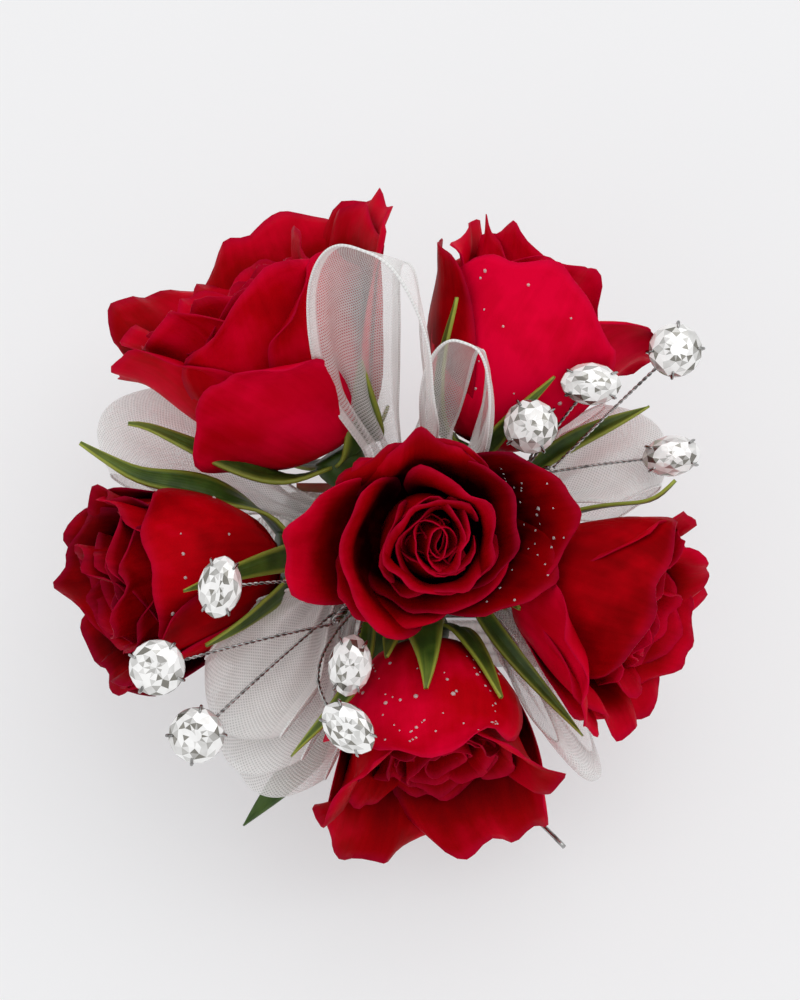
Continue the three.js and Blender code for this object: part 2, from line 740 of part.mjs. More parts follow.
function calyxSolid(rose) {
  const body = turned([
    [0, -rose.reach], [stemRadius, -rose.reach], [stemRadius, -hipLength],
    ...hipProfile.map(([round, down]) => [hipRadius * round, -hipLength * down]),
    [hipRadius * hipTop, -seatGap], [0, -seatGap],
  ], calyxSides);
  const sepals = rose.sepals.map((sepal) => (
    plateAlong(sepalSurface(rose, sepal), sepalColumns, sepalRows, sepalThickness)));
  return joined([body, ...sepals].map((geometry) => placed(geometry, roseMatrix(rose))));
}

function addRose(rose) {
  const shape = roseMatrix(rose).scale(new THREE.Vector3(1, rose.oval, 1));
  addPart(`${rose.name}_petals`, placed(petalRing(rose), shape), 'petal');
  addPart(`${rose.name}_heart`, placed(heartGeometry(rose), shape), 'heart');
  addPart(`${rose.name}_calyx`, mainBody(calyxSolid(rose).subtract(spineSolid(seatGap))), 'leafGreen');
}

// A loop's centre line, full at the top and pinched at the gather: how far out and along at the angle t.
function teardrop(loop, length, t) {
  const share = (1 - Math.cos(t)) / 2;
  const pinch = loopPinch + (1 - loopPinch) * THREE.MathUtils.smoothstep(share, 0, loopPinched);
  const round = Math.sign(Math.sin(t)) * Math.abs(Math.sin(t)) ** loopFullness;
  return new THREE.Vector2((loop.gap / 2) * pinch * round, ribbonNeck + (length - ribbonNeck) * share);
}

function ribbonSolid(loop) {
  const root = new THREE.Vector3(...loop.root);
  const run = new THREE.Vector3(...loop.tip).sub(root);
  const length = run.length();
  const half = ribbonThickness / 2;
  const outer = [];
  const inner = [];
  for (let i = 0; i <= ribbonSteps; i += 1) {
    const t = teardropClosed + (2 * (Math.PI - teardropClosed) * i) / ribbonSteps;
    const point = teardrop(loop, length, t);
    const ahead = teardrop(loop, length, t + slopeStep);
    const along = ahead.sub(teardrop(loop, length, t - slopeStep)).normalize();
    outer.push(new THREE.Vector2(point.x + along.y * half, point.y - along.x * half));
    inner.push(new THREE.Vector2(point.x - along.y * half, point.y + along.x * half));
  }
  const tail = outer[0].x * tailShare;
  const shape = new THREE.Shape([...outer, new THREE.Vector2(-tail, 0), new THREE.Vector2(tail, 0)]);
  shape.holes.push(new THREE.Path(inner));
  const geometry = new THREE.ExtrudeGeometry(shape, { depth: 1, bevelEnabled: false });
  geometry.translate(0, 0, -0.5);
  const corner = geometry.getAttribute('position');
  const fullFrom = ribbonNeck + ribbonFlare * (length - ribbonNeck);
  for (let i = 0; i < corner.count; i += 1) {
    const open = THREE.MathUtils.smoothstep(corner.getY(i), ribbonNeck, fullFrom);
    corner.setX(i, corner.getX(i) * (1 + 2 * loop.funnel * corner.getZ(i)));
    corner.setZ(i, corner.getZ(i) * ribbonWidth * (ribbonGather + (1 - ribbonGather) * open));
  }
  const along = run.clone().normalize();
  const across = new THREE.Vector3(...loop.across).normalize();
  const opening = along.clone().cross(across).normalize();
  const basis = new THREE.Matrix4().makeBasis(opening, along, across);
  basis.setPosition(root.add(gather));
  return placed(geometry, basis);
}

function addRibbons() {
  for (const loop of ribbons) {
    addPart(loop.name, mainBody(ribbonSolid(loop).subtract(spineSolid(seatGap))), 'organza');
  }
}

function fromGather(points) {
  return points.map((point) => new THREE.Vector3(...point).add(gather));
}

// Stone and cup frames: +Z faces out, +X along the branch.
function stoneMatrix(centre, branchRun, kind) {
  const long = branchRun.clone().addScaledVector(stoneFacing, -branchRun.dot(stoneFacing)).normalize();
  const matrix = new THREE.Matrix4().makeBasis(long, stoneFacing.clone().cross(long), stoneFacing);
  matrix.setPosition(centre);
  if (kind === 'marquise') matrix.scale(new THREE.Vector3(marquiseLong, marquiseShort, 1));
  return matrix;
}

function stoneGeometry() {
  const radius = roundStoneRadius;
  return turned([
    [0, -stonePavilion], [radius, -stoneGirdle / 2], [radius, stoneGirdle / 2],
    [radius * stoneTable, stoneCrown], [0, stoneCrown],
  ], stoneSides);
}

// Metal cup round the stone's back, with a collar for the wire
function cupGeometry() {
  const rim = roundStoneRadius + seatGap;
  const end = cupBack + collarLength;
  return turned([
    [0, -end], [collarRadius, -end], [collarRadius, -cupBack],
    [rim + cupWall, -stoneGirdle / 2], [rim, -stoneGirdle / 2], [0, -cupDepth],
  ], stoneSides);
}

// Where a branch starts: just past the stem's end, or beside the stem on the stone's side.
function branchStart(stem, at, finish) {
  const pivot = stem.getPoint(at);
  const along = stem.getTangent(at);
  if (at === 1) return pivot.addScaledVector(along, 2 * seatGap);
  const run = finish.clone().sub(pivot);
  const aside = run.addScaledVector(along, -run.dot(along)).normalize();
  return pivot.addScaledVector(aside, stemWireRadius + branchWireRadius + seatGap);
}

function addBranch(name, stem, branch) {
  const [centre] = fromGather([branch.stone]);
  const frame = stoneMatrix(centre, centre.clone().sub(stem.getPoint(branch.at)), branch.kind);
  const finish = new THREE.Vector3(0, 0, weldDepth - cupBack - collarLength).applyMatrix4(frame);
  const start = branchStart(stem, branch.at, finish);
  const middle = start.clone().add(finish).multiplyScalar(0.5).add(new THREE.Vector3(...branch.bow));
  const route = new THREE.QuadraticBezierCurve3(start, middle, finish);
  const wire = solidOf(tube(route, branchWireRadius, wireSides, wireSteps));
  const mesh = addPart(name, wire.add(placed(cupGeometry(), frame)), 'wire');
  mesh.userData.pivot = start.toArray();
  addPart(name.replace('branch', 'stone'), placed(stoneGeometry(), frame), 'rhinestone');
}

function addSpray(spray) {
  const stem = new THREE.CatmullRomCurve3(fromGather(spray.stem));
  const stemSolid = solidOf(tube(stem, stemWireRadius, wireSides, wireSteps)).subtract(spineSolid(seatGap));
  addPart(`spray_${spray.name}_stem`, mainBody(stemSolid), 'wire');
  spray.branches.forEach((branch, k) => addBranch(`spray_${spray.name}_branch_${k + 1}`, stem, branch));
}

function leafSurface(leaf) {
  const rib = new THREE.CatmullRomCurve3(fromGather(leaf.midrib));
  return (u, v) => {
    const t = THREE.MathUtils.clamp(v, 0, 1);
    const along = rib.getTangent(t);
    const across = along.clone().cross(new THREE.Vector3(0, 0, 1)).normalize();
    const share = t < leaf.widest ? t / leaf.widest : (1 - t) / (1 - leaf.widest);
    const half = (leaf.width / 2) * (bladeFoot + (1 - bladeFoot) * Math.sin((Math.PI / 2) * share));
    return rib.getPoint(t).addScaledVector(along, (v - t) * leaf.width).addScaledVector(across, u * half);
  };
}

function addLeaves() {
  for (const leaf of leaves) {
    const blade = solidOf(plateAlong(leafSurface(leaf), bladeColumns, bladeRows, bladeThickness));
    addPart(leaf.name, mainBody(blade.subtract(spineSolid(seatGap))), 'leafGreen');
  }
}

function addBindingWire() {
  const route = new THREE.CatmullRomCurve3(fromGather(bindingWireRoute));
  const wire = solidOf(tube(route, bindingWireRadius, wireSides, 2 * wireSteps));
  addPart('binding_wire', mainBody(wire.subtract(spineSolid(seatGap))), 'wire');
}

addElastic();
addClipPlate();
addPart('stem_spine', spineSolid(0), 'tape');
roses.forEach(addRose);
addRibbons();
sprays.forEach(addSpray);
addLeaves();
addBindingWire();

export default corsage;
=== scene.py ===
"""Looks of the wrist corsage: six red roses, organza loops, rhinestone sprays, leaves and a stretch band."""

import math
from collections import namedtuple
from functools import partialmethod

import bpy
import numpy as np
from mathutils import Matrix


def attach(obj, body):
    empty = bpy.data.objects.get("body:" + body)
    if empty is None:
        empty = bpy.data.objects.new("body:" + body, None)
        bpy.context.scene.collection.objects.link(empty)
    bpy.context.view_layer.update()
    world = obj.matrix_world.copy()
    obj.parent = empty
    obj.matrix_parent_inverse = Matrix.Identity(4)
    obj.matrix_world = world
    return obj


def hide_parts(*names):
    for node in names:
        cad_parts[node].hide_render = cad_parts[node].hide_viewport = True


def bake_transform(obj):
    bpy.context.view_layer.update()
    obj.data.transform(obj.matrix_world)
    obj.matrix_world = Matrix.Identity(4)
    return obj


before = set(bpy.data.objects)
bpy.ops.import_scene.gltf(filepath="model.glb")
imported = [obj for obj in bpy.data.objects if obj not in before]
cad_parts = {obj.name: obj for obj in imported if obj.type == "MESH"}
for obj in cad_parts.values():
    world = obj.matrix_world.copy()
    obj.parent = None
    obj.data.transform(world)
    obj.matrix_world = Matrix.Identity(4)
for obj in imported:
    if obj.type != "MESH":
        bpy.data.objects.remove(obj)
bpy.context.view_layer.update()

# Lengths are in millimetres and angles in degrees, in the frame of the solids.
MM = 0.001
UP = np.array([0.0, 0.0, 1.0])
GATHER = np.array([0.0, 0.0, 33.2])
SEAT_GAP = 0.3

# Wristband, clip plate and taped spine
BAND_WIDTH = 18.0
BAND_THICKNESS = 1.4
BAND_FLAT_LENGTH = 42.0
BAND_LOWER_TURN = 18.0
BAND_UPPER_TURN = 12.0
BAND_SHOULDER = 12.0
BAND_CORDS = 10
BAND_CORD_DEPTH = 0.35
BAND_COLUMNS = 61
BAND_STEPS = 90
EYE_STEPS = 49
EYE_SQUARENESS = 0.6
PLATE_BOTTOM = 27.4
PLATE_THICKNESS = 1.0
END_BAR_WIDTH = 2.5
BAR_CENTRE = 16.75
SPINE_RADIUS = 4.5
SPINE_LENGTH = 25.0
SPINE_TAPER = 0.7
SPINE_ROWS = 120
SPINE_SIDES = 40
SPINE_STEMS = 5
STEM_BULGE = 0.18
STEM_TWIST = 0.25
TAPE_PITCH = 4.2
TAPE_STEP = 0.28
TAPE_INSET = 0.15

# Petals
PETAL_THICKNESS = 0.35
PETAL_BASE_RADIUS = 2.2
PETAL_BASE_HEIGHT = 0.6
PETAL_ROWS = 20
PETAL_COLUMNS = 19
PETAL_REACH_MOST = 1.1
PETAL_TOP_DROP = 0.12
PETAL_TOP_CLOSE = 0.64
PETAL_POINT = 0.015
PETAL_NOTCH = 0.022
PETAL_OVERLAP = 1.1
PETAL_TIGHTEST = 2.6
RIM_WIDTH = 2.2
# Shares of a petal's length at which its four leans are given
HEADING_STATIONS = (0.0, 0.35, 0.75, 1.0)
WALK_STEPS = 67

# Calyx, sepals and leaves
HIP_RADIUS = 4.0
HIP_LENGTH = 6.0
HIP_SIDES = 28
# Shares of the hip's radius and of its length below the petals
HIP_PROFILE = [(0.62, 0.86), (0.86, 0.66), (0.98, 0.42), (1.0, 0.28), (0.96, 0.12)]
STEM_RADIUS = 1.5
SEPAL_THICKNESS = 0.5
SEPAL_STAND_OFF = 1.3
SEPAL_LIFT = 6.0
SEPAL_ROOT_RADIUS = 2.4
SEPAL_TAPER = 0.92
SEPAL_CURL = 0.12
SEPAL_KEEL = 0.15
SEPAL_SWAY = 0.06
SEPAL_ROWS = 22
SEPAL_COLUMNS = 9
BLADE_THICKNESS = 0.5
BLADE_FOOT = 0.2
BLADE_KEEL = 0.35
BLADE_TIP = 0.05
BLADE_ROWS = 34
BLADE_COLUMNS = 9

# Organza ribbon
RIBBON_WIDTH = 16.0
RIBBON_NECK = 11.0
RIBBON_GATHER = 0.25
RIBBON_FLARE = 0.55
RIBBON_STEPS = 110
RIBBON_COLUMNS = 25
RIBBON_PLEATS = 2.6
PLEAT_DEPTH = 1.3
LOOP_FULLNESS = 0.7
LOOP_PINCH = 0.45
LOOP_PINCHED = 0.35
TEARDROP_CLOSED = 0.62
TAIL_STEPS = 14
SELVAGE_WIDTH = 1.6
SELVAGE_RADIUS = 0.2
SELVAGE_SIDES = 6
SELVAGE_PITCH = 0.5
WEAVE_PITCH = 0.56
STITCH_PITCH = 0.9

# Rhinestone sprays and bare wire
STEM_WIRE_RADIUS = 0.8
BRANCH_WIRE_RADIUS = 0.45
TWIST_RADIUS = 0.27
TWIST_PITCH = 2.0
STRAND_SIDES = 8
STEM_STEPS = 101
BRANCH_STEPS = 130
STONE_RADIUS = 4.0
STONE_PAVILION = 2.6
STONE_CROWN = 1.3
STONE_GIRDLE = 0.5
STONE_SIDES = 12
# Share of the stone's radius and of its crown's height at each ring of corners
STONE_RINGS = [(0.22, 0.99), (0.46, 0.95), (0.66, 0.80), (0.86, 0.52), (1.0, 0.19), (1.0, -0.19)]
# Painted glint brightness a facet can take, and how often each comes up
FACET_LEVELS = (0.0, 0.35, 0.7, 1.0)
FACET_SHARES = (0.12, 0.14, 0.24, 0.5)
MARQUISE_LONG = 1.12
MARQUISE_SHORT = 0.78
MARQUISE_POINT = 0.22
CUP_WALL = 0.5
CUP_DEPTH = STONE_PAVILION + SEAT_GAP
CUP_BACK = CUP_DEPTH + 2 * CUP_WALL
CUP_SIDES = 32
COLLAR_RADIUS = 0.9
COLLAR_LENGTH = 1.2
COLLAR_OVERLAP = 0.4
CLAW_RADIUS = 0.28
CLAW_STEPS = 12
CLAW_SIDES = 8
CLAW_ANGLES = (40, 140, 220, 320)
STONE_FACING = np.array([0.0, -0.35, 0.94]) / math.hypot(0.35, 0.94)
BINDING_WIRE_RADIUS = 0.35
BINDING_WIRE_STEPS = 70
BINDING_WIRE_SIDES = 10
BINDING_WIRE = [(1, -3.2, -3.7), (2, -11.5, -3.9), (6, -19, -15), (13, -31, -21), (23, -43, -19)]

# Half is half the width, lean is the angle from the rose's axis, and the colour value goes from dark red to
# bright crimson: partly the petal's own colour, partly painted light and shade set petal by petal.
Petal = namedtuple("Petal", "turn length half lean lip ruffle hue aside", defaults=[0])
Ring = namedtuple("Ring", "count length half lean lip ruffle turn")
# A bud's last field is the colour value of its inner petals: partly their own colour, partly painted light
# and shade.
Bud = namedtuple("Bud", "first tall frill shift hue")
Sepal = namedtuple("Sepal", "azimuth length width flare twist", defaults=[0])
Rose = namedtuple(
    "Rose", "start azimuth elevation reach length loosen spin bud sepals outer cup oval", defaults=[(), 1.0])
Loop = namedtuple("Loop", "root tip gap across funnel fall sheer")
Branch = namedtuple("Branch", "at stone kind bow turn", defaults=[0])
Leaf = namedtuple("Leaf", "width widest pale midrib")
Lamp = namedtuple("Lamp", "place size watts")

# Inner petals from the cup to the middle: lengths and half widths are shares of the outer petal's length.
INNER_RINGS = [
    Ring(5, 0.86, 0.36, (68, 18, 2, 40), 1.8, 0.6, 36),
    Ring(4, 0.80, 0.34, (58, 9, -6, 24), 1.3, 0.5, 8),
    Ring(4, 0.74, 0.31, (48, 3, -10, 10), 0.8, 0.4, 50),
    Ring(3, 0.68, 0.28, (38, -2, -12, -2), 0.5, 0.3, 15),
    Ring(3, 0.62, 0.23, (28, -5, -12, -10), 0.3, 0.2, 75),
]

ROSES = {
    "centre": Rose(
        start=0, azimuth=-77, elevation=66, reach=9.4, length=31, loosen=-4, spin=1,
        bud=Bud(1, 1.0, 1.5, (0.4, 0.4), 0.42),
        sepals=[
            Sepal(0, 8, 4, 10), Sepal(72, 6, 4, 10), Sepal(144, 6, 4, 10),
            Sepal(216, 4, 3, 10), Sepal(288, 4, 3, 10),
        ],
        outer=[
            Petal(2, 26, 18.0, (78, 44, 38, 58), 0.2, 0.3, 0.22),
            Petal(88, 29, 12.0, (78, 32, 20, 74), 1.6, 1.1, 0.30),
            Petal(160, 32, 13.5, (78, 33, 23, 40), 1.0, 0.4, 0.72),
            Petal(222, 24.5, 12.0, (78, 30, 18, 50), 1.4, 0.6, 0.50),
            Petal(322, 25, 13.0, (78, 42, 34, 60), 0.3, 0.5, 0.22),
            Petal(270, 20, 13.0, (78, 33, 18, 42), 0.8, 0.6, 0.42),
        ],
        cup=[
            Petal(179, 28.5, 14.0, (66, 20, 4, 22), 1.3, 0.3, 0.45),
            Petal(84, 27, 9.5, (66, 22, 10, 70), 1.8, 0.8, 0.35),
            Petal(8, 25, 12.0, (66, 20, 8, 30), 0.8, 0.4, 0.20),
        ],
        oval=0.74,
    ),
    "top_left": Rose(
        start=-4, azimuth=124.5, elevation=28, reach=15.5, length=36, loosen=6, spin=-1,
        bud=Bud(0, 1.18, 2.2, (0, 0), 0.55),
        sepals=[
            Sepal(8, 32, 5.6, 16, 65), Sepal(116, 20, 7, 8, 65), Sepal(150, 9, 5, 4),
            Sepal(225, 9, 4, 10), Sepal(300, 9, 4, 10),
        ],
        outer=[
            Petal(75, 29.5, 13.5, (84, 44, 22, 38), 2.4, 0.9, 0.78, -20),
            Petal(4, 36, 15.0, (74, 29, 17, 46), 1.4, 1.0, 0.60),
            Petal(92, 34.5, 20.0, (72, 26, 11, 38), 0.8, 1.0, 0.60),
            Petal(186, 40, 17.0, (74, 30, 22, 62), 1.8, 1.6, 0.65),
            Petal(240, 42, 16.5, (74, 28, 11, 36), 1.6, 1.4, 0.55),
            Petal(300, 42, 16.5, (74, 26, 13, 34), 1.6, 1.4, 0.50),
        ],
    ),
    "top_right": Rose(
        start=1.5, azimuth=62, elevation=17.7, reach=16, length=34, loosen=-7, spin=1,
        bud=Bud(0, 1.18, 1.6, (3.4, 0.6), 0.72),
        sepals=[
            Sepal(62, 27, 3.6, 9, 20), Sepal(118, 22, 3.6, 8), Sepal(180, 5, 4, 6),
            Sepal(240, 6, 4, 6), Sepal(300, 6, 4, 6),
        ],
        outer=[
            Petal(91, 33.5, 16.0, (78, 31, 12, 26), 1.2, 1.0, 0.95, 5),
            Petal(166, 33.5, 15.0, (68, 22, 17, 72), 1.8, 0.6, 0.80),
            Petal(236, 31.5, 14.0, (70, 20, 6, 36), 2.0, 1.0, 0.60),
            Petal(304, 34, 14.0, (70, 20, 6, 36), 2.0, 1.0, 0.60),
            Petal(22, 31, 14.0, (74, 34, 14, 22), 0.6, 0.6, 0.26),
        ],
    ),
    "left": Rose(
        start=-4, azimuth=196, elevation=12, reach=17, length=32, loosen=-4, spin=1,
        bud=Bud(0, 1.16, 2.6, (0, 0), 0.14),
        sepals=[
            Sepal(160, 35, 6, 13, 70), Sepal(65, 25, 4.4, 4), Sepal(27, 22, 4.4, 4),
            Sepal(235, 6, 4, 6), Sepal(300, 4, 4, 6),
        ],
        outer=[
            Petal(66, 26, 17.0, (62, 28, 8, 12), 0.6, 0.5, 0.38),
            Petal(146, 28, 13.5, (58, 24, 5, 20), 1.0, 0.6, 0.50),
            Petal(214, 32, 13.0, (58, 24, 5, 34), 1.8, 1.3, 0.10),
            Petal(284, 32.5, 13.0, (58, 24, 5, 38), 2.0, 1.4, 0.05),
            Petal(354, 31.5, 12.5, (58, 24, 5, 32), 1.6, 1.2, 0.15),
        ],
    ),
    "right": Rose(
        start=4, azimuth=-29.7, elevation=15.3, reach=14.5, length=30, loosen=2, spin=-1,
        bud=Bud(0, 1.1, 1.8, (0, 0), 0.55),
        sepals=[
            Sepal(30, 29, 4.2, 10), Sepal(135, 15, 5, 9), Sepal(210, 4, 4, 6),
            Sepal(260, 4, 4, 6), Sepal(320, 6, 4, 6),
        ],
        outer=[
            Petal(102, 31.5, 17.0, (74, 25, 6, 10), 0.8, 0.5, 0.30),
            Petal(168, 30.5, 13.0, (74, 28, 17, 60), 2.0, 1.0, 0.80),
            Petal(244, 28, 12.5, (74, 26, 12, 50), 2.0, 1.3, 0.60),
            Petal(316, 28, 12.5, (74, 26, 12, 50), 2.0, 1.3, 0.60),
            Petal(34, 28, 12.5, (74, 26, 12, 46), 2.0, 1.1, 0.50),
        ],
    ),
    "bottom": Rose(
        start=0, azimuth=-84.5, elevation=0.7, reach=17, length=33, loosen=4, spin=1,
        bud=Bud(0, 0.86, 2.6, (0, 0), 0.34),
        sepals=[
            Sepal(50, 22, 6, 3), Sepal(92, 22, 7, 1), Sepal(122, 13, 5.5, 2),
            Sepal(220, 7, 4, 6), Sepal(300, 7, 4, 6),
        ],
        outer=[
            Petal(94, 29.5, 18.0, (80, 34, 12, 50), 0.8, 1.5, 0.70),
            Petal(168, 32, 15.0, (68, 22, 13, 60), 1.2, 1.6, 0.50),
            Petal(232, 34.5, 16.0, (74, 25, 12, 52), 0.8, 2.0, 0.45),
            Petal(302, 34, 16.0, (74, 25, 12, 52), 0.8, 2.0, 0.50),
            Petal(18, 30, 14.0, (68, 22, 15, 60), 0.6, 1.2, 0.50),
        ],
    ),
}

# Roots and tips from the gather; across is the ribbon's width direction at the tip.
RIBBONS = {
    "tall": Loop((-1.7, 1.5, 0), (-4, 22.3, 50), 13.0, (-0.38, -0.3, 0.87), 0.55, 0, 1.0),
    "short": Loop((4.4, 0.6, 0), (8.6, 14.8, 36.8), 7.6, (-0.16, -0.36, 0.92), 0.5, 0, 1.0),
    "left": Loop((-8, 0, -0.4), (-48, 21, -2), 7.5, (0.38, 0.92, 0), 0, 5.0, 0.35),
    "right": Loop((8, 0, 0), (38.5, 19, -2.6), 6.5, (-0.5, 0.85, 0), 0, 5.0, 0.3),
    "front_upper": Loop((-6, 0, 3.4), (-28, -31.8, 5.8), 5.2, (-0.70, 0.70, 0.12), 0, 5.0, 0.3),
    "front_middle": Loop((-6, 0, 1.1), (-26, -36, -1.6), 3.6, (-0.8, 0.6, -0.08), 0, 6.0, 0.45),
    "front_lower": Loop((-5.6, 0, -0.9), (-23, -38, -9), 3.6, (-0.9, 0.45, 0), 0, 6.0, 0.55),
    "front_right": Loop((5.4, 0, 1.85), (27.2, -34.7, -10.7), 4.4, (0.35, 0.2, -0.9), 0, 5.0, 0.7),
}

SPRAYS = {
    "left": (
        [(-4, -3, 4.2), (-7.5, -10.5, 6.6), (-11.5, -16.6, 8.4)],
        [
            Branch(1, (-36.3, -27.9, 20), "round", (0, 0, 2)),
            Branch(0.88, (-30.9, -36, 14), "round", (0, 0, 2)),
            Branch(0.5, (-27.4, -17.2, 24), "marquise", (0, 0, 2), 80),
            Branch(0.5, (-9, -26.5, 17), "marquise", (0, 0, 1)),
            Branch(0.75, (-9.1, -36.9, 20), "marquise", (-10, -3, 3), 45),
        ],
    ),
    "right": (
        [(9.8, 4.3, 2.8), (14.5, 6.5, 6.2), (20.5, 7.7, 8.5)],
        [
            Branch(1, (38.9, 22.3, 19.2), "round", (0, 0, 1)),
            Branch(0.78, (26.1, 15.5, 22), "marquise", (0, 0, 1), -60),
            Branch(0.88, (39.1, 11.2, 5.5), "marquise", (0, 0, 1.5)),
            Branch(0.6, (17.3, 10, 19.1), "round", (3, -2, 0)),
        ],
    ),
}

LEAVES = {
    "leaf_front": Leaf(
        5.4, 0.75, 0.45, [(-0.6, -3.7, -3.1), (-2.8, -12.4, -3.2), (-12, -25, -14), (-26, -39, -21)]),
    "blade_front_left": Leaf(
        2.6, 0.6, 1, [(-5.4, -4.5, 2), (-6.4, -15, 6.4), (-8.4, -26, 9.6), (-17.5, -38, 10.5)]),
    "blade_front_right": Leaf(2.6, 0.5, 1, [(5.5, -4.6, 2.6), (13, -18, 4.4), (25, -32, 1.6)]),
    "blade_right": Leaf(3, 0.6, 1, [(11.5, 4.3, 2.2), (22, 11.7, 6.5), (35.6, 17.4, 10)]),
}

# Dew: the rose, its outer petal, the side that shows (1 back, -1 face) and how many drops
DEW = [
    ("bottom", 0, 1, 64), ("centre", 0, -1, 44), ("centre", 4, -1, 34), ("top_right", 0, 1, 18),
    ("left", 0, 1, 10),
]
DEW_SMALLEST = 0.14
DEW_LARGEST = 0.36
DEW_SIDES = 10

# Where the seeds of each kind of piece begin; those of a rose's parts are added to the rose's own.
ROSE_SEED = 1000
CUP_SEED = 20
BUD_SEED = 40
INNER_SEED = 50
DEW_SEED = 90
TONE_SEED = 500
SEPAL_SEED = 700
RIBBON_SEED = 300
STONE_SEED = 40
LEAF_SEED = 600

# Camera and light
CAMERA_ELEVATION = 68.0
CAMERA_DISTANCE = 450.0
PICTURE_WIDTH = 800
PICTURE_HEIGHT = 1000
PIXELS_PER_MM = 6.6
GATHER_PIXEL = (413, 538)
SENSOR = 36.0
SEEN_RAYS = ("Is Camera Ray", "Is Glossy Ray", "Is Transmission Ray")
FLOOR_LIFT = 0.45
FLOOR_LIFT_COLOUR = (0.84, 0.845, 0.865)
FLOOR_REACH = 4000.0
FLOOR_DROP = 0.1
BACKDROP_COLOUR = (0.79, 0.79, 0.80)
SKY_COLOUR = (1.0, 1.0, 1.0)
SKY_LEVEL = 0.80
LAMPS = {
    "key_light": Lamp((320, 200, 1150), 1000, 3.0),
    "fill_light": Lamp((-600, -500, 800), 900, 0.5),
}


# Small sums on points

def unit(vectors):
    vectors = np.asarray(vectors, float)
    return vectors / np.linalg.norm(vectors, axis=-1, keepdims=True)


def eased(value, low, high):
    share = np.clip((value - low) / (high - low), 0, 1)
    return share * share * (3 - 2 * share)


def from_gather(points):
    return GATHER + np.asarray(points, float)


def turned(degrees):
    """Rows of the frame turned about Z."""
    turn = math.radians(degrees)
    return np.array([[math.cos(turn), math.sin(turn), 0], [-math.sin(turn), math.cos(turn), 0], [0, 0, 1]])


def round_angles(count):
    return np.linspace(0, 2 * math.pi, count, endpoint=False)


def directions(points):
    """Unit tangents along a line of points."""
    return unit(np.gradient(points, axis=0))


def normals(surface):
    """Unit normals of a grid of points."""
    return unit(np.cross(np.gradient(surface, axis=1), np.gradient(surface, axis=0)))


def run_along(points):
    """Length of the way along a line, at each of its points."""
    return np.concatenate([[0], np.cumsum(np.linalg.norm(np.diff(points, axis=0), axis=1))])


def between(first, second, low, high, t):
    """The point at t on the straight way from first, reached at low, to second, reached at high."""
    return ((high - t) * first + (t - low) * second) / (high - low)


def smooth_line(points, count):
    """Points of a smooth curve through the given ones, bent as centripetal Catmull-Rom."""
    points = np.asarray(points, float)
    points = np.vstack([2 * points[0] - points[1], points, 2 * points[-1] - points[-2]])
    gaps = np.linalg.norm(np.diff(points, axis=0), axis=1) ** 0.5
    knots = np.concatenate([[0], np.cumsum(gaps)])
    spans = len(points) - 3
    made = []
    for place in np.linspace(0, spans, count):
        k = min(int(place), spans - 1)
        t = knots[k + 1] + (place - k) * (knots[k + 2] - knots[k + 1])
        near = [between(points[i], points[i + 1], knots[i], knots[i + 1], t) for i in range(k, k + 3)]
        far = [between(near[i], near[i + 1], knots[k + i], knots[k + i + 2], t) for i in (0, 1)]
        made.append(between(*far, knots[k + 1], knots[k + 2], t))
    return np.array(made)


def bezier(start, middle, finish, count):
    t = np.linspace(0, 1, count)[:, None]
    return (1 - t) ** 2 * start + 2 * t * (1 - t) * middle + t ** 2 * finish


# Shapes as points and faces

def quads(index):
    """Faces of a grid of point numbers, turned so that columns cross rows to face out."""
    corners = [index[:-1, :-1], index[:-1, 1:], index[1:, 1:], index[1:, :-1]]
    return np.stack([corner.ravel() for corner in corners], axis=1).tolist()


def skin(middle, thickness):
    """A closed thin shell round a grid of points: its front points, then its back points, and its faces."""
    rows, columns = middle.shape[:2]
    half = normals(middle) * np.asarray(thickness, float)[..., None] / 2
    index = np.arange(rows * columns).reshape(rows, columns)
    behind = rows * columns
    faces = quads(index) + [face[::-1] for face in quads(index + behind)]
    edge = np.concatenate([index[0, :-1], index[:-1, -1], index[-1, :0:-1], index[:0:-1, 0]])
    after = np.roll(edge, -1)
    faces += np.stack([after, edge, edge + behind, after + behind], axis=1).tolist()
    return np.concatenate([(middle + half).reshape(-1, 3), (middle - half).reshape(-1, 3)]), faces


def both_faces(values):
    """Painted values for the front and the back points of a skin."""
    return np.tile(np.ravel(values), 2)


def hoops(rings):
    """A closed skin over rings of points, with its two ends closed."""
    rows, columns = rings.shape[:2]
    index = np.arange(rows * columns).reshape(rows, columns)
    faces = quads(np.hstack([index, index[:, :1]]))
    return rings.reshape(-1, 3), faces + [index[0, ::-1].tolist(), index[-1].tolist()]


def lathed(profile, sides):
    """A turned body: radius and height pairs from the bottom up, round Z."""
    angle = round_angles(sides)
    profile = np.asarray(profile, float)
    ring = np.stack([np.cos(angle), np.sin(angle), np.zeros(sides)], axis=1)
    return hoops(profile[:, :1, None] * ring + profile[:, 1:, None] * UP)


def carried_frames(points):
    """Tangent, side and normal along a line, carried from point to point without twist."""
    tangent = directions(points)
    side = unit(np.cross(tangent[0], UP if abs(tangent[0][2]) < 0.9 else np.array([1.0, 0, 0])))
    sides = []
    for direction in tangent:
        side = unit(side - direction * side.dot(direction))
        sides.append(side)
    sides = np.array(sides)
    return tangent, sides, np.cross(tangent, sides)


def tube(points, radius, sides):
    points = np.asarray(points, float)
    radius = np.broadcast_to(radius, len(points))[:, None, None]
    _, side, normal = carried_frames(points)
    angle = round_angles(sides)[None, :, None]
    return hoops(points[:, None] + radius * (np.cos(angle) * side[:, None] + np.sin(angle) * normal[:, None]))


def twisted(points, spread, pitch, phase):
    """The line of one strand laid round another line."""
    _, side, normal = carried_frames(points)
    angle = (2 * math.pi * run_along(points) / pitch + phase)[:, None]
    return points + spread * (np.cos(angle) * side + np.sin(angle) * normal)


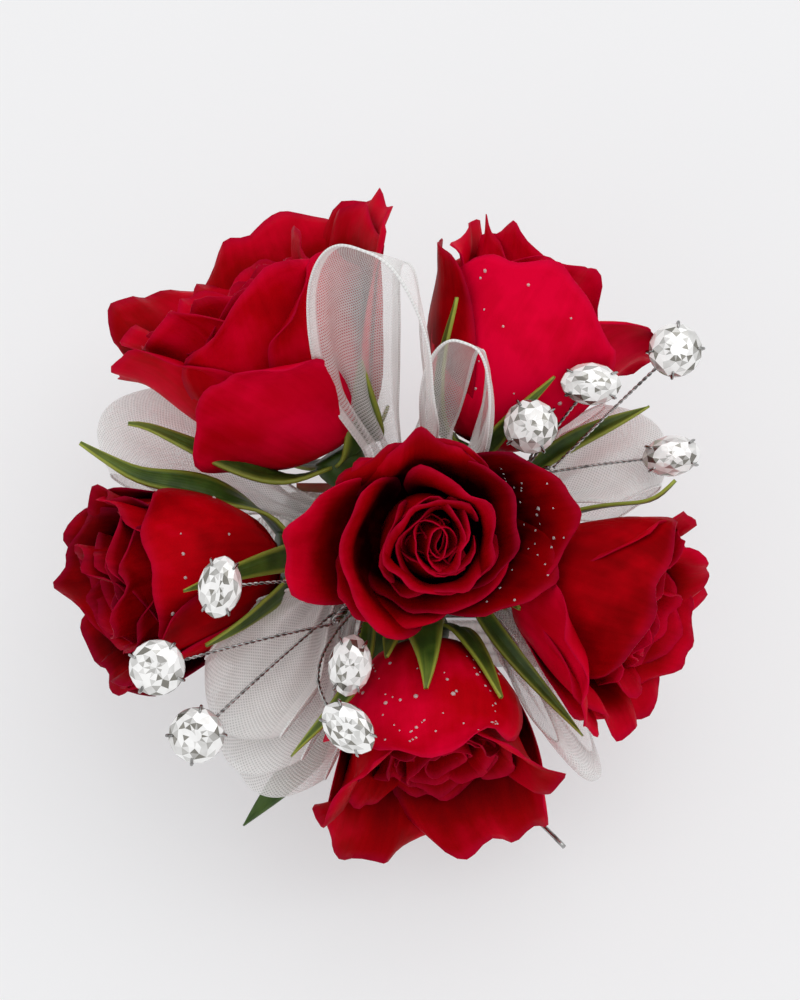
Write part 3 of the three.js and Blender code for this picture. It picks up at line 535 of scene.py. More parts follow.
class Form:
    """Gathers the points, faces and painted values that make one piece."""

    def __init__(self):
        self.points = []
        self.faces = []
        self.facets = []
        self.paint = {}
        self.count = 0

    def add(self, shape, facets=(), **paint):
        """Adds a shape. A painted value is one number for the whole shape or one for each point."""
        points, faces = shape
        self.faces += [[corner + self.count for corner in face] for face in faces]
        self.facets += list(facets)
        self.points.append(points)
        for key, value in paint.items():
            self.paint.setdefault(key, []).append(np.zeros(len(points)) + np.ravel(value))
        self.count += len(points)

    def make(self, name, material, flat=False):
        mesh = bpy.data.meshes.new(name)
        mesh.from_pydata((np.concatenate(self.points) * MM).tolist(), [], self.faces)
        for key, columns in self.paint.items():
            mesh.attributes.new(key, "FLOAT", "POINT").data.foreach_set("value", np.concatenate(columns))
        if self.facets:
            mesh.attributes.new("facet", "FLOAT", "FACE").data.foreach_set("value", self.facets)
        if flat:
            mesh.shade_flat()
        else:
            mesh.shade_smooth()
        mesh.materials.append(material)
        piece = bpy.data.objects.new(name, mesh)
        bpy.context.scene.collection.objects.link(piece)
        return piece

    def settle(self, name, material, slot, *nodes, body="corsage", flat=False):
        """Makes the piece, puts it on its body and lets it stand for the solids of those nodes."""
        piece = self.make(name, material, flat)
        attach(piece, body)
        if nodes:
            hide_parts(*nodes)
        return piece


# Finishes

class Value:
    """A shader socket that stands in sums as a number does."""

    def __init__(self, nodes, socket):
        self.nodes = nodes
        self.socket = socket

    def math(self, operation, *others):
        return self.nodes.node("ShaderNodeMath", {"operation": operation}, dict(enumerate((self, *others))))

    __add__ = __radd__ = partialmethod(math, "ADD")
    __sub__ = partialmethod(math, "SUBTRACT")
    __mul__ = __rmul__ = partialmethod(math, "MULTIPLY")
    __truediv__ = partialmethod(math, "DIVIDE")
    __abs__ = partialmethod(math, "ABSOLUTE")
    most = partialmethod(math, "MAXIMUM")
    # What is left over a whole number
    part = partialmethod(math, "FRACT")

    def __rsub__(self, other):
        return self.math("MULTIPLY_ADD", -1.0, other)

    def step(self, low, high):
        """0 at low and 1 at high, eased between."""
        inputs = {"Value": self, "From Min": low, "From Max": high}
        return self.nodes.node("ShaderNodeMapRange", {"interpolation_type": "SMOOTHSTEP"}, inputs)


class Nodes:
    """Shader nodes of a material or of the world."""

    def __init__(self, tree):
        self.tree = tree

    def node(self, kind, settings=None, inputs=None, output=0):
        made = self.tree.nodes.new(kind)
        for key, setting in (settings or {}).items():
            setattr(made, key, setting)
        for key, given in (inputs or {}).items():
            self.feed(made.inputs[key], given)
        return Value(self, made.outputs[output])

    def feed(self, socket, given):
        if isinstance(given, Value):
            self.tree.links.new(given.socket, socket)
        elif socket.type == "RGBA":
            socket.default_value = (*given, 1.0)
        else:
            socket.default_value = given

    def seen(self):
        """1 for rays from the camera, off a mirror or through glass, and 0 for the light on things."""
        camera, mirror, glass = [self.node("ShaderNodeLightPath", output=kind) for kind in SEEN_RAYS]
        return camera.most(mirror).most(glass)

    def show(self, output, share, first, second):
        """Sends a mix of two shaders to the output."""
        mixed = self.node("ShaderNodeMixShader", inputs={0: share, 1: first, 2: second})
        self.tree.links.new(mixed.socket, self.tree.nodes[output].inputs["Surface"])


class Finish(Nodes):
    """A material whose look comes from plain expressions."""

    def __init__(self, name):
        self.material = bpy.data.materials.new(name)
        self.material.use_nodes = True
        super().__init__(self.material.node_tree)
        self.surface = self.tree.nodes["Principled BSDF"]

    def coat(self, **inputs):
        """Feeds the surface's sockets: base_color goes to Base Color, and so on. Returns the material."""
        for key, given in inputs.items():
            name = key.replace("_", " ").title().replace("Ior", "IOR")
            self.feed(self.surface.inputs[name], given)
        return self.material

    def painted(self, key):
        return self.node("ShaderNodeAttribute", {"attribute_name": key}, output="Fac")

    def place(self):
        return self.node("ShaderNodeTexCoord", output="Object")

    def noise(self, per_mm, detail=2.0, vector=None):
        """Noise from 0 to 1 with that many lumps to a millimetre, or to a unit of the given vector."""
        scale = per_mm if vector else per_mm / MM
        inputs = {"Vector": vector or self.place(), "Scale": scale, "Detail": detail}
        return self.node("ShaderNodeTexNoise", {"noise_dimensions": "3D"}, inputs)

    def joined(self, x, y, z=0.0):
        return self.node("ShaderNodeCombineXYZ", inputs={0: x, 1: y, 2: z})

    def mix(self, share, first, second):
        settings = {"data_type": "RGBA", "clamp_factor": True}
        return self.node("ShaderNodeMix", settings, {0: share, 6: first, 7: second}, output=2)

    def bump(self, height, depth, strength=1.0):
        """Normal for relief whose height of 1 is that many millimetres."""
        inputs = {"Height": height, "Distance": depth * MM, "Strength": strength}
        return self.node("ShaderNodeBump", inputs=inputs)


def petal_finish():
    """Velvet petal: deep red to bright crimson back and a darker face, with painted shade deepening the face
    to its foot, painted light and shade from side to side, a pink rim that is partly a painted highlight, and
    fine veins.
    """
    finish = Finish("rose_petal")
    along = finish.painted("along")
    across = finish.painted("across")
    rim = finish.painted("rim")
    tone = finish.painted("tone")
    hue = finish.painted("hue")
    cloud = finish.noise(0.12, 3.0).step(0.32, 0.72)
    veins = finish.noise(1.0, 3.0, finish.joined(across * 13.0, along * 2.2, tone * 9.0))
    # Colour share: each petal's own value (partly painted light and shade), random clouds and veins, and
    # painted shade that darkens one side of the petal and lightens the other.
    warmth_and_light = hue + (cloud - 0.5) * 0.34 + across * (tone - 0.5) * 0.5 + (veins - 0.5) * 0.25
    outside = finish.mix(warmth_and_light * 2.0, (0.150, 0.0, 0.0005), (0.480, 0.0, 0.005))
    outside = finish.mix(warmth_and_light * 2.0 - 1.0, outside, (0.830, 0.0005, 0.036))
    # Face colour share: the petal's own value, then painted shade that darkens the face towards its foot,
    # down in the rose's hollow.
    depth = warmth_and_light * 0.8 + along.step(0.45, 1.0) * 0.6 - 0.34
    inside = finish.mix(depth * 2.0, (0.026, 0.0, 0.0003), (0.320, 0.0, 0.002))
    inside = finish.mix(depth * 2.0 - 1.0, inside, (0.720, 0.0, 0.022))
    colour = finish.mix(finish.painted("inside"), outside, inside)
    # Pink-purple rim: partly the petal's own edge colour, partly a painted highlight where the rolled edge
    # catches light.
    colour = finish.mix(rim * rim * (0.15 + veins * 0.4), colour, (0.44, 0.005, 0.055))
    nap = finish.noise(5.0, 2.0)
    relief = veins * 0.8 + nap * 0.2
    return finish.coat(
        base_color=colour, roughness=veins * 0.2 + 0.36, normal=finish.bump(relief, 0.12, 0.6),
        specular_ior_level=0.015,
    )


def leaf_finish():
    """Green of sepals and blades: dark by the rib, yellow-green at edges and tip, with fine long veins."""
    finish = Finish("sepal_green")
    along = finish.painted("along")
    across = finish.painted("across")
    cloud = finish.noise(0.25, 3.0)
    veins = finish.noise(1.0, 2.0, finish.joined(across * 7.0, along * 2.0, finish.painted("tone") * 9.0))
    colour = finish.mix(cloud.step(0.3, 0.7), (0.022, 0.060, 0.006), (0.060, 0.125, 0.013))
    light = abs(across).step(0.5, 1.0) * 0.75 + along.step(0.6, 1.0) * 0.3 + veins * 0.3 - 0.2
    colour = finish.mix(light, colour, (0.33, 0.38, 0.045))
    return finish.coat(
        base_color=colour, roughness=veins * 0.2 + 0.38, normal=finish.bump(veins, 0.15, 0.6),
        specular_ior_level=0.4,
    )


def tape_finish():
    """Stretchy green floral tape: crinkled, waxy, with a lighter edge at each turn."""
    finish = Finish("floral_tape_green")
    crinkle = finish.noise(1.6, 4.0)
    lap = finish.painted("lap")
    colour = finish.mix(crinkle.step(0.3, 0.75), (0.030, 0.085, 0.014), (0.085, 0.170, 0.035))
    colour = finish.mix(lap.step(0.75, 1.0) * 0.5, colour, (0.16, 0.26, 0.07))
    return finish.coat(
        base_color=colour, roughness=crinkle * 0.25 + 0.45, normal=finish.bump(crinkle, 0.3, 0.7),
    )


def organza_finish():
    """Sheer white weave: crossing threads over open holes, closer at the selvages."""
    finish = Finish("organza_weave")
    warp = finish.painted("warp")
    weft = finish.painted("weft")
    slub = finish.noise(0.5, 2.0)
    lines = [(warp + weft) / WEAVE_PITCH, (warp - weft) / WEAVE_PITCH]
    threads = [1.0 - (abs(line.part() - 0.5) * 2.0).step(0.28, 0.72) for line in lines]
    cover = threads[0].most(threads[1])
    selvage = abs(warp).step(RIBBON_WIDTH / 2 - SELVAGE_WIDTH, RIBBON_WIDTH / 2 - 0.7 * SELVAGE_WIDTH)
    sheer = finish.painted("sheer")
    alpha = cover * (sheer * 0.26 + 0.16) + slub * 0.14 + 0.42 - sheer * 0.32
    alpha = alpha.most(selvage * (sheer * 0.25 + 0.6))
    colour = finish.mix(cover, (0.86, 0.86, 0.85), (0.97, 0.97, 0.96))
    return finish.coat(
        base_color=colour, alpha=alpha, roughness=0.32 + slub * 0.2,
        normal=finish.bump(threads[0] - threads[1], 0.08, 0.5), sheen_weight=0.3, specular_ior_level=0.6,
    )


def selvage_finish():
    """Corded white edge of the ribbon."""
    finish = Finish("organza_selvage")
    cords = abs((finish.painted("weft") / SELVAGE_PITCH).part() - 0.5) * 2.0
    colour = finish.mix(cords, (0.74, 0.74, 0.73), (0.94, 0.94, 0.93))
    return finish.coat(
        base_color=colour, roughness=0.35 + cords * 0.15, normal=finish.bump(cords, 0.1, 0.6),
        specular_ior_level=0.5,
    )


def elastic_finish():
    """White knitted elastic: rows of small stitches along its rubber cords, with painted shade in the grooves
    between the cords.
    """
    finish = Finish("elastic_knit")
    row = finish.painted("run") / STITCH_PITCH + finish.painted("lap") * 0.5
    stitch = abs(row.part() - 0.5) * 2.0
    wear = finish.noise(0.4, 3.0)
    groove = finish.painted("groove")
    colour = finish.mix(stitch * 0.5 + wear * 0.3, (0.88, 0.88, 0.86), (0.70, 0.70, 0.68))
    # Painted shade in the grooves between the cords.
    colour = finish.mix(groove * 0.6, colour, (0.46, 0.46, 0.45))
    return finish.coat(
        base_color=colour, roughness=0.6 + stitch * 0.2, normal=finish.bump(stitch, 0.25, 0.7),
        sheen_weight=0.3,
    )


def steel_finish():
    """Stamped steel plate with a drawn grain and dulled patches."""
    finish = Finish("stamped_steel")
    place = finish.node("ShaderNodeMapping", inputs={"Vector": finish.place(), "Scale": (0.06, 1.0, 1.0)})
    grain = finish.noise(6.0 / MM, 3.0, place)
    dull = finish.noise(0.2, 3.0)
    colour = finish.mix(dull.step(0.3, 0.75), (0.62, 0.63, 0.64), (0.44, 0.45, 0.46))
    return finish.coat(
        base_color=colour, metallic=1.0, roughness=grain * 0.15 + dull * 0.12 + 0.2,
        normal=finish.bump(grain, 0.02, 0.4),
    )


def silver_finish():
    """Bright silvered wire and cups, greyer where it has tarnished."""
    finish = Finish("silvered_wire")
    tarnish = finish.noise(0.9, 3.0)
    colour = finish.mix(tarnish.step(0.4, 0.75), (0.46, 0.46, 0.45), (0.12, 0.115, 0.11))
    return finish.coat(
        base_color=colour, metallic=1.0, roughness=tarnish * 0.2 + 0.1,
        normal=finish.bump(tarnish, 0.05, 0.3),
    )


def rhinestone_finish():
    """Foil-backed cut glass: each facet is painted its own brightness, as painted glints and painted dark
    reflections.
    """
    finish = Finish("rhinestone_glass")
    facet = finish.painted("facet")
    foil = finish.noise(0.8, 2.0)
    # Painted glints and reflections: each facet's painted brightness, dark to white, varied by the foil.
    colour = finish.mix(facet + (foil - 0.5) * 0.5, (0.22, 0.21, 0.18), (0.97, 0.97, 0.96))
    return finish.coat(
        base_color=colour, metallic=(1.0 - facet) * 0.5 + 0.2, roughness=0.04 + foil * 0.06,
        coat_weight=1.0, coat_roughness=0.02, specular_ior_level=0.9,
    )


def dew_finish():
    """Water drops, partly clear and partly plain white, the white being painted glints."""
    finish = Finish("dew_water")
    swirl = finish.noise(2.0, 1.0)
    # White base colour under partial transmission: painted glints on the drops.
    return finish.coat(
        base_color=(1.0, 1.0, 1.0), roughness=swirl * 0.03, transmission_weight=0.6, ior=1.4,
    )


# Roses

def rose_place(rose):
    """Where a rose stands and its own axes as rows: across, up and out along the flower."""
    azimuth, elevation = math.radians(rose.azimuth), math.radians(rose.elevation)
    level = math.cos(elevation)
    out = np.array([level * math.cos(azimuth), level * math.sin(azimuth), math.sin(elevation)])
    across = unit(np.cross(UP, out))
    return GATHER + (rose.start, 0, 0) + out * rose.reach, np.array([across, np.cross(out, across), out])


def in_place(rose, points, oval=1.0):
    origin, axes = rose_place(rose)
    return origin + (points * (1, oval, 1)) @ axes


def heading_at(lean, share):
    """Angle from the flower's axis at a share of the petal's length, in radians."""
    share = np.clip(share, 0, 1)
    heading = np.full(np.shape(share), float(lean[-1]))
    for k in (2, 1, 0):
        low, high = HEADING_STATIONS[k], HEADING_STATIONS[k + 1]
        turn = (1 - np.cos(np.pi * np.clip((share - low) / (high - low), 0, 1))) / 2
        heading = np.where(share <= high, lean[k] + (lean[k + 1] - lean[k]) * turn, heading)
    return np.radians(heading)


def walk(start, headings, step):
    """Radius and height along a line that sets out from start with those headings."""
    middle = (headings[1:] + headings[:-1]) / 2
    radius = start[0] + np.concatenate([[0], np.cumsum(np.sin(middle) * step)])
    height = start[1] + np.concatenate([[0], np.cumsum(np.cos(middle) * step)])
    return radius, height


def petal_grid():
    """Shares across a petal, from -1 to 1, and along it, at each point of its grid."""
    v = np.linspace(0, 1, PETAL_ROWS)[:, None] + np.zeros(PETAL_COLUMNS)
    u = np.linspace(-1, 1, PETAL_COLUMNS) + np.zeros((PETAL_ROWS, 1))
    return u, v


def petal_outline(petal, u, v, wave):
    """How far along the petal each point lies, as a share of its length, and how far aside."""
    point = PETAL_POINT * np.exp(-((u / 0.16) ** 2)) * v ** 5
    notch = PETAL_NOTCH * (np.sin(5.2 * u + wave[3]) + 0.6 * np.sin(9.4 * u + wave[0])) * v ** 4
    reached = v * (1 - PETAL_TOP_DROP * np.abs(u) ** 2.2) + point + notch
    closing = PETAL_TOP_CLOSE * np.clip((v - 0.6) / 0.4, 0, 1)
    swell = 0.3 + 0.7 * np.sin(np.pi / 2 * np.minimum(reached / 0.62, 1))
    half = petal.half * swell * np.sqrt(1 - closing ** 2)
    aside = math.radians(petal.aside)
    arc = u * half * math.cos(aside) + reached * petal.length * math.sin(aside)
    reached = reached * math.cos(aside) - u * half * math.sin(aside) / petal.length
    return np.clip(reached, 0, PETAL_REACH_MOST), arc


def petal_relief(petal, spin, u, v, wave):
    """How far each point is lifted off the petal's plain curve, and how far its lip rolls back."""
    side = np.abs(u)
    top = eased(v, 0.62, 1)
    flank = eased(side, 0.4, 1) * eased(v, 0.2, 0.85)
    curl = petal.lip * (top ** 2 * (0.35 + 0.65 * side) + 0.75 * flank ** 2)
    frill = np.sin(4.3 * u + wave[0]) + 0.6 * np.sin(7.9 * u + wave[1]) + 0.3 * np.sin(13 * u + wave[2])
    dent = 0.45 * np.sin(2.4 * u + 3.0 * v + wave[3]) * eased(v, 0.1, 0.5)
    crease = 0.22 * np.sin(6.4 * u + 1.5 * v + wave[2]) * eased(v, 0.25, 0.8)
    lift = curl + PETAL_OVERLAP * spin * u * v + petal.ruffle * frill * v ** 4 * 0.7 + dent + crease
    return lift, 0.45 * curl * top


def petal_surface(petal, spin, seed):
    """Middle of one petal in its rose's own frame: rows from foot to lip, columns from side to side."""
    wave = np.random.default_rng(seed).uniform(0, 2 * math.pi, 4)
    u, v = petal_grid()
    reached, arc = petal_outline(petal, u, v, wave)
    lift, back = petal_relief(petal, spin, u, v, wave)
    shares = np.linspace(0, PETAL_REACH_MOST, WALK_STEPS)
    foot = (PETAL_BASE_RADIUS, PETAL_BASE_HEIGHT)
    radii, heights = walk(foot, heading_at(petal.lean, shares), petal.length * shares[1])
    radius = np.interp(reached, shares, radii)
    height = np.interp(reached, shares, heights)
    heading = heading_at(petal.lean, reached)
    bend = np.maximum(radius, PETAL_TIGHTEST)
    swing = arc / bend
    reach = bend + lift * np.cos(heading) - back * np.sin(heading)
    flat = np.stack([
        radius - bend + reach * np.cos(swing), reach * np.sin(swing),
        height - lift * np.sin(heading) - back * np.cos(heading),
    ], axis=-1)
    return flat @ turned(petal.turn)


def add_petal(form, rose, petal, seed, oval, shift=(0, 0)):
    surface = petal_surface(petal, rose.spin, seed)
    leaned = surface + eased(surface[..., 2:], 0, rose.length / 2) * (*shift, 0)
    u, v = petal_grid()
    edge = np.minimum((1 - v) * petal.length, (1 - np.abs(u)) * petal.half + (v < 0.3) * petal.half)
    rim = np.clip(1 - edge / RIM_WIDTH, 0, 1)
    tone = np.random.default_rng(seed + TONE_SEED).uniform()
    form.add(
        skin(in_place(rose, leaned, oval), PETAL_THICKNESS * (1 - 0.55 * rim)),
        along=both_faces(v), across=both_faces(u), rim=both_faces(rim),
        inside=np.repeat([0.0, 1.0], v.size), tone=tone, hue=petal.hue,
    )


def inner_petals(rose, seed):
    """Rows of the petals inside the outer ring, from the cup to the middle."""
    chance = np.random.default_rng(seed)
    for level, ring in list(enumerate(INNER_RINGS))[rose.bud.first:]:
        loosen = rose.loosen * (1 - level / len(INNER_RINGS))
        for k in range(ring.count):
            jitter = chance.uniform(-1, 1, 4)
            lean = tuple(angle + loosen + 5 * jitter[0] for angle in ring.lean)
            turn = rose.outer[0].turn + ring.turn + 360 * k / ring.count + 20 * jitter[1]
            length = rose.length * ring.length * rose.bud.tall * (1 + 0.08 * jitter[2])
            half = rose.length * ring.half * (1 + 0.1 * jitter[3])
            yield Petal(turn, length, half, lean, ring.lip, ring.ruffle * rose.bud.frill, rose.bud.hue)


def add_rose(name, rose, seed, finishes):
    outer = Form()
    for k, petal in enumerate(rose.outer):
        add_petal(outer, rose, petal, seed + k, rose.oval)
    outer.settle(f"rose_{name}_outer_petals", finishes["petal"], "petal_red", f"rose_{name}_petals")
    inner = Form()
    for k, petal in enumerate(rose.cup):
        add_petal(inner, rose, petal, seed + CUP_SEED + k, 1.0)
    for k, petal in enumerate(inner_petals(rose, seed + BUD_SEED)):
        add_petal(inner, rose, petal, seed + INNER_SEED + k, 1.0, rose.bud.shift)
    inner.settle(f"rose_{name}_inner_petals", finishes["petal"], "petal_deep", f"rose_{name}_heart")
    add_calyx(name, rose, seed + SEPAL_SEED, finishes)


def ring_at(rose, azimuth):
    """Length and headings of the outer petals in one direction round a rose."""
    turns = [petal.turn for petal in rose.outer]
    rows = np.array([(petal.length, *petal.lean) for petal in rose.outer]).T
    length, *lean = [np.interp(azimuth, turns, row, period=360) for row in rows]
    return length, lean


def sepal_surface(rose, sepal):
    """Middle of one sepal in its rose's own frame, lying along the backs of the outer petals."""
    v = np.linspace(0, 1, SEPAL_ROWS)[:, None]
    u = np.linspace(-1, 1, SEPAL_COLUMNS)
    share = np.linspace(0, 1, WALK_STEPS)
    spread = np.radians(SEPAL_LIFT + sepal.flare * share ** 1.5)
    length, lean = ring_at(rose, sepal.azimuth)
    headings = heading_at(lean, share * sepal.length / length) + spread
    radii, heights = walk((SEPAL_ROOT_RADIUS, -SEPAL_STAND_OFF), headings, sepal.length * share[1])
    radius, height, heading = [np.interp(v, share, row) for row in (radii, heights, headings)]
    half = sepal.width / 2 * (1 - SEPAL_TAPER * v ** 1.5)
    bulge = SEPAL_CURL * half * u ** 2 + SEPAL_KEEL * half * (1 - np.abs(u)) ** 2
    sway = SEPAL_SWAY * sepal.length * np.sin(2.6 * v + sepal.azimuth) * v ** 2
    twist = np.radians(sepal.twist) * eased(v, 0.05, 0.5)
    aside = u * half * np.cos(twist) - bulge * np.sin(twist) + sway
    outward = u * half * np.sin(twist) + bulge * np.cos(twist)
    flat = np.stack([radius + outward * np.cos(heading), aside, height - outward * np.sin(heading)], axis=-1)
    return flat @ turned(sepal.azimuth)


def add_blade(form, middle, thickness, seed, pale=1.0):
    """Adds a leaf's skin round a grid of points. A pale share under 1 keeps it dark all over."""
    rows, columns = middle.shape[:2]
    along = np.repeat(np.linspace(0, 1, rows), columns) * pale
    across = np.tile(np.linspace(-1, 1, columns), rows) * pale
    tone = np.random.default_rng(seed).uniform()
    shape = skin(middle, np.full((rows, columns), thickness))
    form.add(shape, tone=tone, along=both_faces(along), across=both_faces(across))


def add_calyx(name, rose, seed, finishes):
    """The stem, the hip turned round it and the sepals."""
    form = Form()
    stem = [(STEM_RADIUS, -rose.reach), (STEM_RADIUS, -HIP_LENGTH - 1), (STEM_RADIUS * 1.15, -HIP_LENGTH)]
    hip = [(wide * HIP_RADIUS, -down * HIP_LENGTH) for wide, down in HIP_PROFILE]
    profile = stem + hip + [(0.9 * HIP_RADIUS, -SEAT_GAP)]
    points, faces = lathed(profile, HIP_SIDES)
    share = np.repeat(np.linspace(0, 0.5, len(profile)), HIP_SIDES)
    form.add((in_place(rose, points), faces), along=share, across=0.2, tone=0.5)
    for k, sepal in enumerate(rose.sepals):
        add_blade(form, in_place(rose, sepal_surface(rose, sepal)), SEPAL_THICKNESS, seed + k)
    form.settle(f"rose_{name}_sepals", finishes["leaf"], "leaf_green", f"rose_{name}_calyx")


def dew_drop(place, normal, radius):
    """A low round drop sitting on a petal."""
    side = unit(np.cross(normal, [0.3, 0.5, 0.8]))
    axes = np.array([side, np.cross(normal, side), normal])
    rise = np.linspace(-0.5, 0.5 * math.pi, 6)[:-1]
    profile = np.stack([np.cos(rise), 0.62 * np.sin(rise)], axis=1)
    points, faces = lathed(profile, DEW_SIDES)
    return place + radius * points @ axes, faces


def add_dew(finish):
    form = Form()
    names = list(ROSES)
    for name, which, side, count in DEW:
        rose = ROSES[name]
        seed = ROSE_SEED * (names.index(name) + 1) + which
        middle = in_place(rose, petal_surface(rose.outer[which], rose.spin, seed), rose.oval)
        normal = normals(middle) * side
        chance = np.random.default_rng(seed + DEW_SEED)
        for _ in range(count):
            row = chance.integers(PETAL_ROWS // 3, PETAL_ROWS - 2)
            column = chance.integers(2, PETAL_COLUMNS - 2)
            shift = chance.uniform(0, 1)
            place = middle[row, column] * (1 - shift) + middle[row + 1, column + 1] * shift
            radius = DEW_SMALLEST + (DEW_LARGEST - DEW_SMALLEST) * chance.uniform() ** 2
            lift = normal[row, column] * PETAL_THICKNESS / 2
            form.add(dew_drop(place + lift, normal[row, column], radius))
    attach(form.make("petal_dew", finish), "corsage")


# Ribbons

def loop_path(loop, length):
    """How far out and how far along the loop's line goes, from its root round the tip and back."""
    t = np.linspace(TEARDROP_CLOSED, 2 * math.pi - TEARDROP_CLOSED, RIBBON_STEPS)
    share = (1 - np.cos(t)) / 2
    pinch = LOOP_PINCH + (1 - LOOP_PINCH) * eased(share, 0, LOOP_PINCHED)
    out = loop.gap / 2 * pinch * np.sign(np.sin(t)) * np.abs(np.sin(t)) ** LOOP_FULLNESS
    along = RIBBON_NECK + (length - RIBBON_NECK) * share
    tail = np.linspace(0, 1, TAIL_STEPS)[:-1]
    tail_out = out[0] * (0.3 + 0.7 * tail ** 2)
    tail_along = along[0] * tail
    return np.stack([
        np.concatenate([tail_out, out, -tail_out[::-1]]),
        np.concatenate([tail_along, along, tail_along[::-1]]),
    ], axis=1)


def ribbon_surface(loop, seed):
    """The ribbon's sheet, how far across and along the flat strip its points lie, and the strip's length."""
    root = from_gather(loop.root)
    run = from_gather(loop.tip) - root
    length = np.linalg.norm(run)
    along_axis = run / length
    across_axis = unit(loop.across)
    opening = unit(np.cross(along_axis, across_axis))
    line = loop_path(loop, length)
    strip = run_along(line)
    slope = directions(line)
    normal = np.stack([slope[:, 1], -slope[:, 0]], axis=1)
    open_share = eased(line[:, 1], RIBBON_NECK, RIBBON_NECK + RIBBON_FLARE * (length - RIBBON_NECK))
    half = RIBBON_WIDTH / 2 * (RIBBON_GATHER + (1 - RIBBON_GATHER) * open_share)[:, None]
    u = np.linspace(-1, 1, RIBBON_COLUMNS)[None, :]
    wave = np.random.default_rng(seed).uniform(0, 2 * math.pi, 3)
    fade = (1 - 0.55 * open_share) * (1 - eased(line[:, 1], 0.6 * length, 0.97 * length))
    pleat = PLEAT_DEPTH * fade[:, None] * np.cos(math.pi * RIBBON_PLEATS * u + wave[0])
    ripple = 0.3 * open_share[:, None] * np.sin(0.22 * strip[:, None] + 1.6 * u + wave[1])
    bow = -0.5 * open_share[:, None] * u ** 2
    lift = pleat + ripple + bow
    spread = line[:, :1] * (1 + loop.funnel * u)
    fallen = line[:, 1:] - loop.fall * u ** 2 * eased(line[:, 1:], 0.5 * length, length)
    middle = (
        root + (spread + lift * normal[:, :1])[..., None] * opening
        + (fallen + lift * normal[:, 1:])[..., None] * along_axis + (u * half)[..., None] * across_axis
    )
    warp = u * RIBBON_WIDTH / 2 + 0 * half
    weft = strip[:, None] + 0 * u
    return middle, warp, weft, strip[-1]


def add_ribbon(name, loop, seed, finishes):
    middle, warp, weft, length = ribbon_surface(loop, seed)
    form = Form()
    index = np.arange(warp.size).reshape(warp.shape)
    form.add((middle.reshape(-1, 3), quads(index)), warp=warp, weft=weft, sheer=loop.sheer)
    sheet = form.settle(f"ribbon_{name}_organza", finishes["organza"], "organza_white", f"ribbon_{name}")
    edges = Form()
    for column in (0, -1):
        cord = tube(middle[:, column], SELVAGE_RADIUS, SELVAGE_SIDES)
        edges.add(cord, weft=np.repeat(weft[:, column], SELVAGE_SIDES))
    selvage = edges.settle(f"ribbon_{name}_selvages", finishes["selvage"], "organza_white")
    length * MM


# Rhinestone sprays

def marquise(points):
    """Draws a round shape out to a pointed oval."""
    reach = np.maximum(np.hypot(points[:, 0], points[:, 1]), 1e-6)
    short = MARQUISE_SHORT * np.abs(points[:, 1] / reach) ** MARQUISE_POINT
    x, y, z = points.T
    return np.stack([x * MARQUISE_LONG, y * short, z], axis=1)


def stone_frame(branch_run):
    """Axes of a stone as rows: along its branch, across it and out of its face."""
    long = unit(branch_run - STONE_FACING * branch_run.dot(STONE_FACING))
    return np.array([long, np.cross(STONE_FACING, long), STONE_FACING])


def ring_of(radius, height, count, turn=0.0):
    angle = 2 * math.pi * (np.arange(count) + turn) / count
    return np.stack([radius * np.cos(angle), radius * np.sin(angle), np.full(count, height)], axis=1)


def brilliant(seed):
    """A cut stone: rings of facets over a pavilion, and the painted glint brightness of each facet."""
    rings = [
        ring_of(reach * STONE_RADIUS, rise * STONE_CROWN, STONE_SIDES, 0.5 * (k % 2))
        for k, (reach, rise) in enumerate(STONE_RINGS)
    ]
    points = np.concatenate([[(0, 0, STONE_CROWN)], *rings, [(0, 0, -STONE_PAVILION)]])
    index = 1 + np.arange(len(rings) * STONE_SIDES).reshape(len(rings), STONE_SIDES)
    after = np.roll(index, -1, axis=1)
    faces = [[0, int(a), int(b)] for a, b in zip(index[0], after[0])]
    for k in range(len(rings) - 1):
        ahead = after[k + 1] if k % 2 else index[k + 1]
        behind = index[k + 1] if k % 2 else np.roll(index[k + 1], 1)
        faces += np.stack([index[k], behind, ahead], axis=1).tolist()
        faces += np.stack([index[k], ahead, after[k]], axis=1).tolist()
    faces += [[int(a), len(points) - 1, int(b)] for a, b in zip(index[-1], after[-1])]
    facets = np.random.default_rng(seed).choice(FACET_LEVELS, len(faces), p=FACET_SHARES)
    return points, faces, facets


def claw(degrees):
    """One claw bent from the cup over the stone's edge."""
    edge = STONE_RADIUS + 0.2
    line = [
        (edge - 0.3, 0, -1.3), (edge, 0, -0.3), (edge, 0, 0.2), (edge - 0.35, 0, 0.55), (edge - 0.9, 0, 0.8),
    ]
    radius = CLAW_RADIUS * np.linspace(1, 0.7, CLAW_STEPS)
    points, faces = tube(smooth_line(line, CLAW_STEPS), radius, CLAW_SIDES)
    return points @ turned(degrees), faces


def setting_shapes():
    """Cup, collar and claws that hold a stone."""
    end = CUP_BACK + COLLAR_LENGTH
    profile = [
        (0.5 * COLLAR_RADIUS, -end), (COLLAR_RADIUS, -end + 0.15), (COLLAR_RADIUS, -CUP_BACK),
        (0.55 * STONE_RADIUS, -0.75 * CUP_BACK), (0.93 * STONE_RADIUS, -0.3 * CUP_BACK),
        (STONE_RADIUS, -STONE_GIRDLE), (0.97 * STONE_RADIUS, -STONE_GIRDLE),
        (0.5 * STONE_RADIUS, -0.6 * CUP_DEPTH), (0.2, -CUP_DEPTH),
    ]
    return [lathed(profile, CUP_SIDES)] + [claw(degrees) for degrees in CLAW_ANGLES]


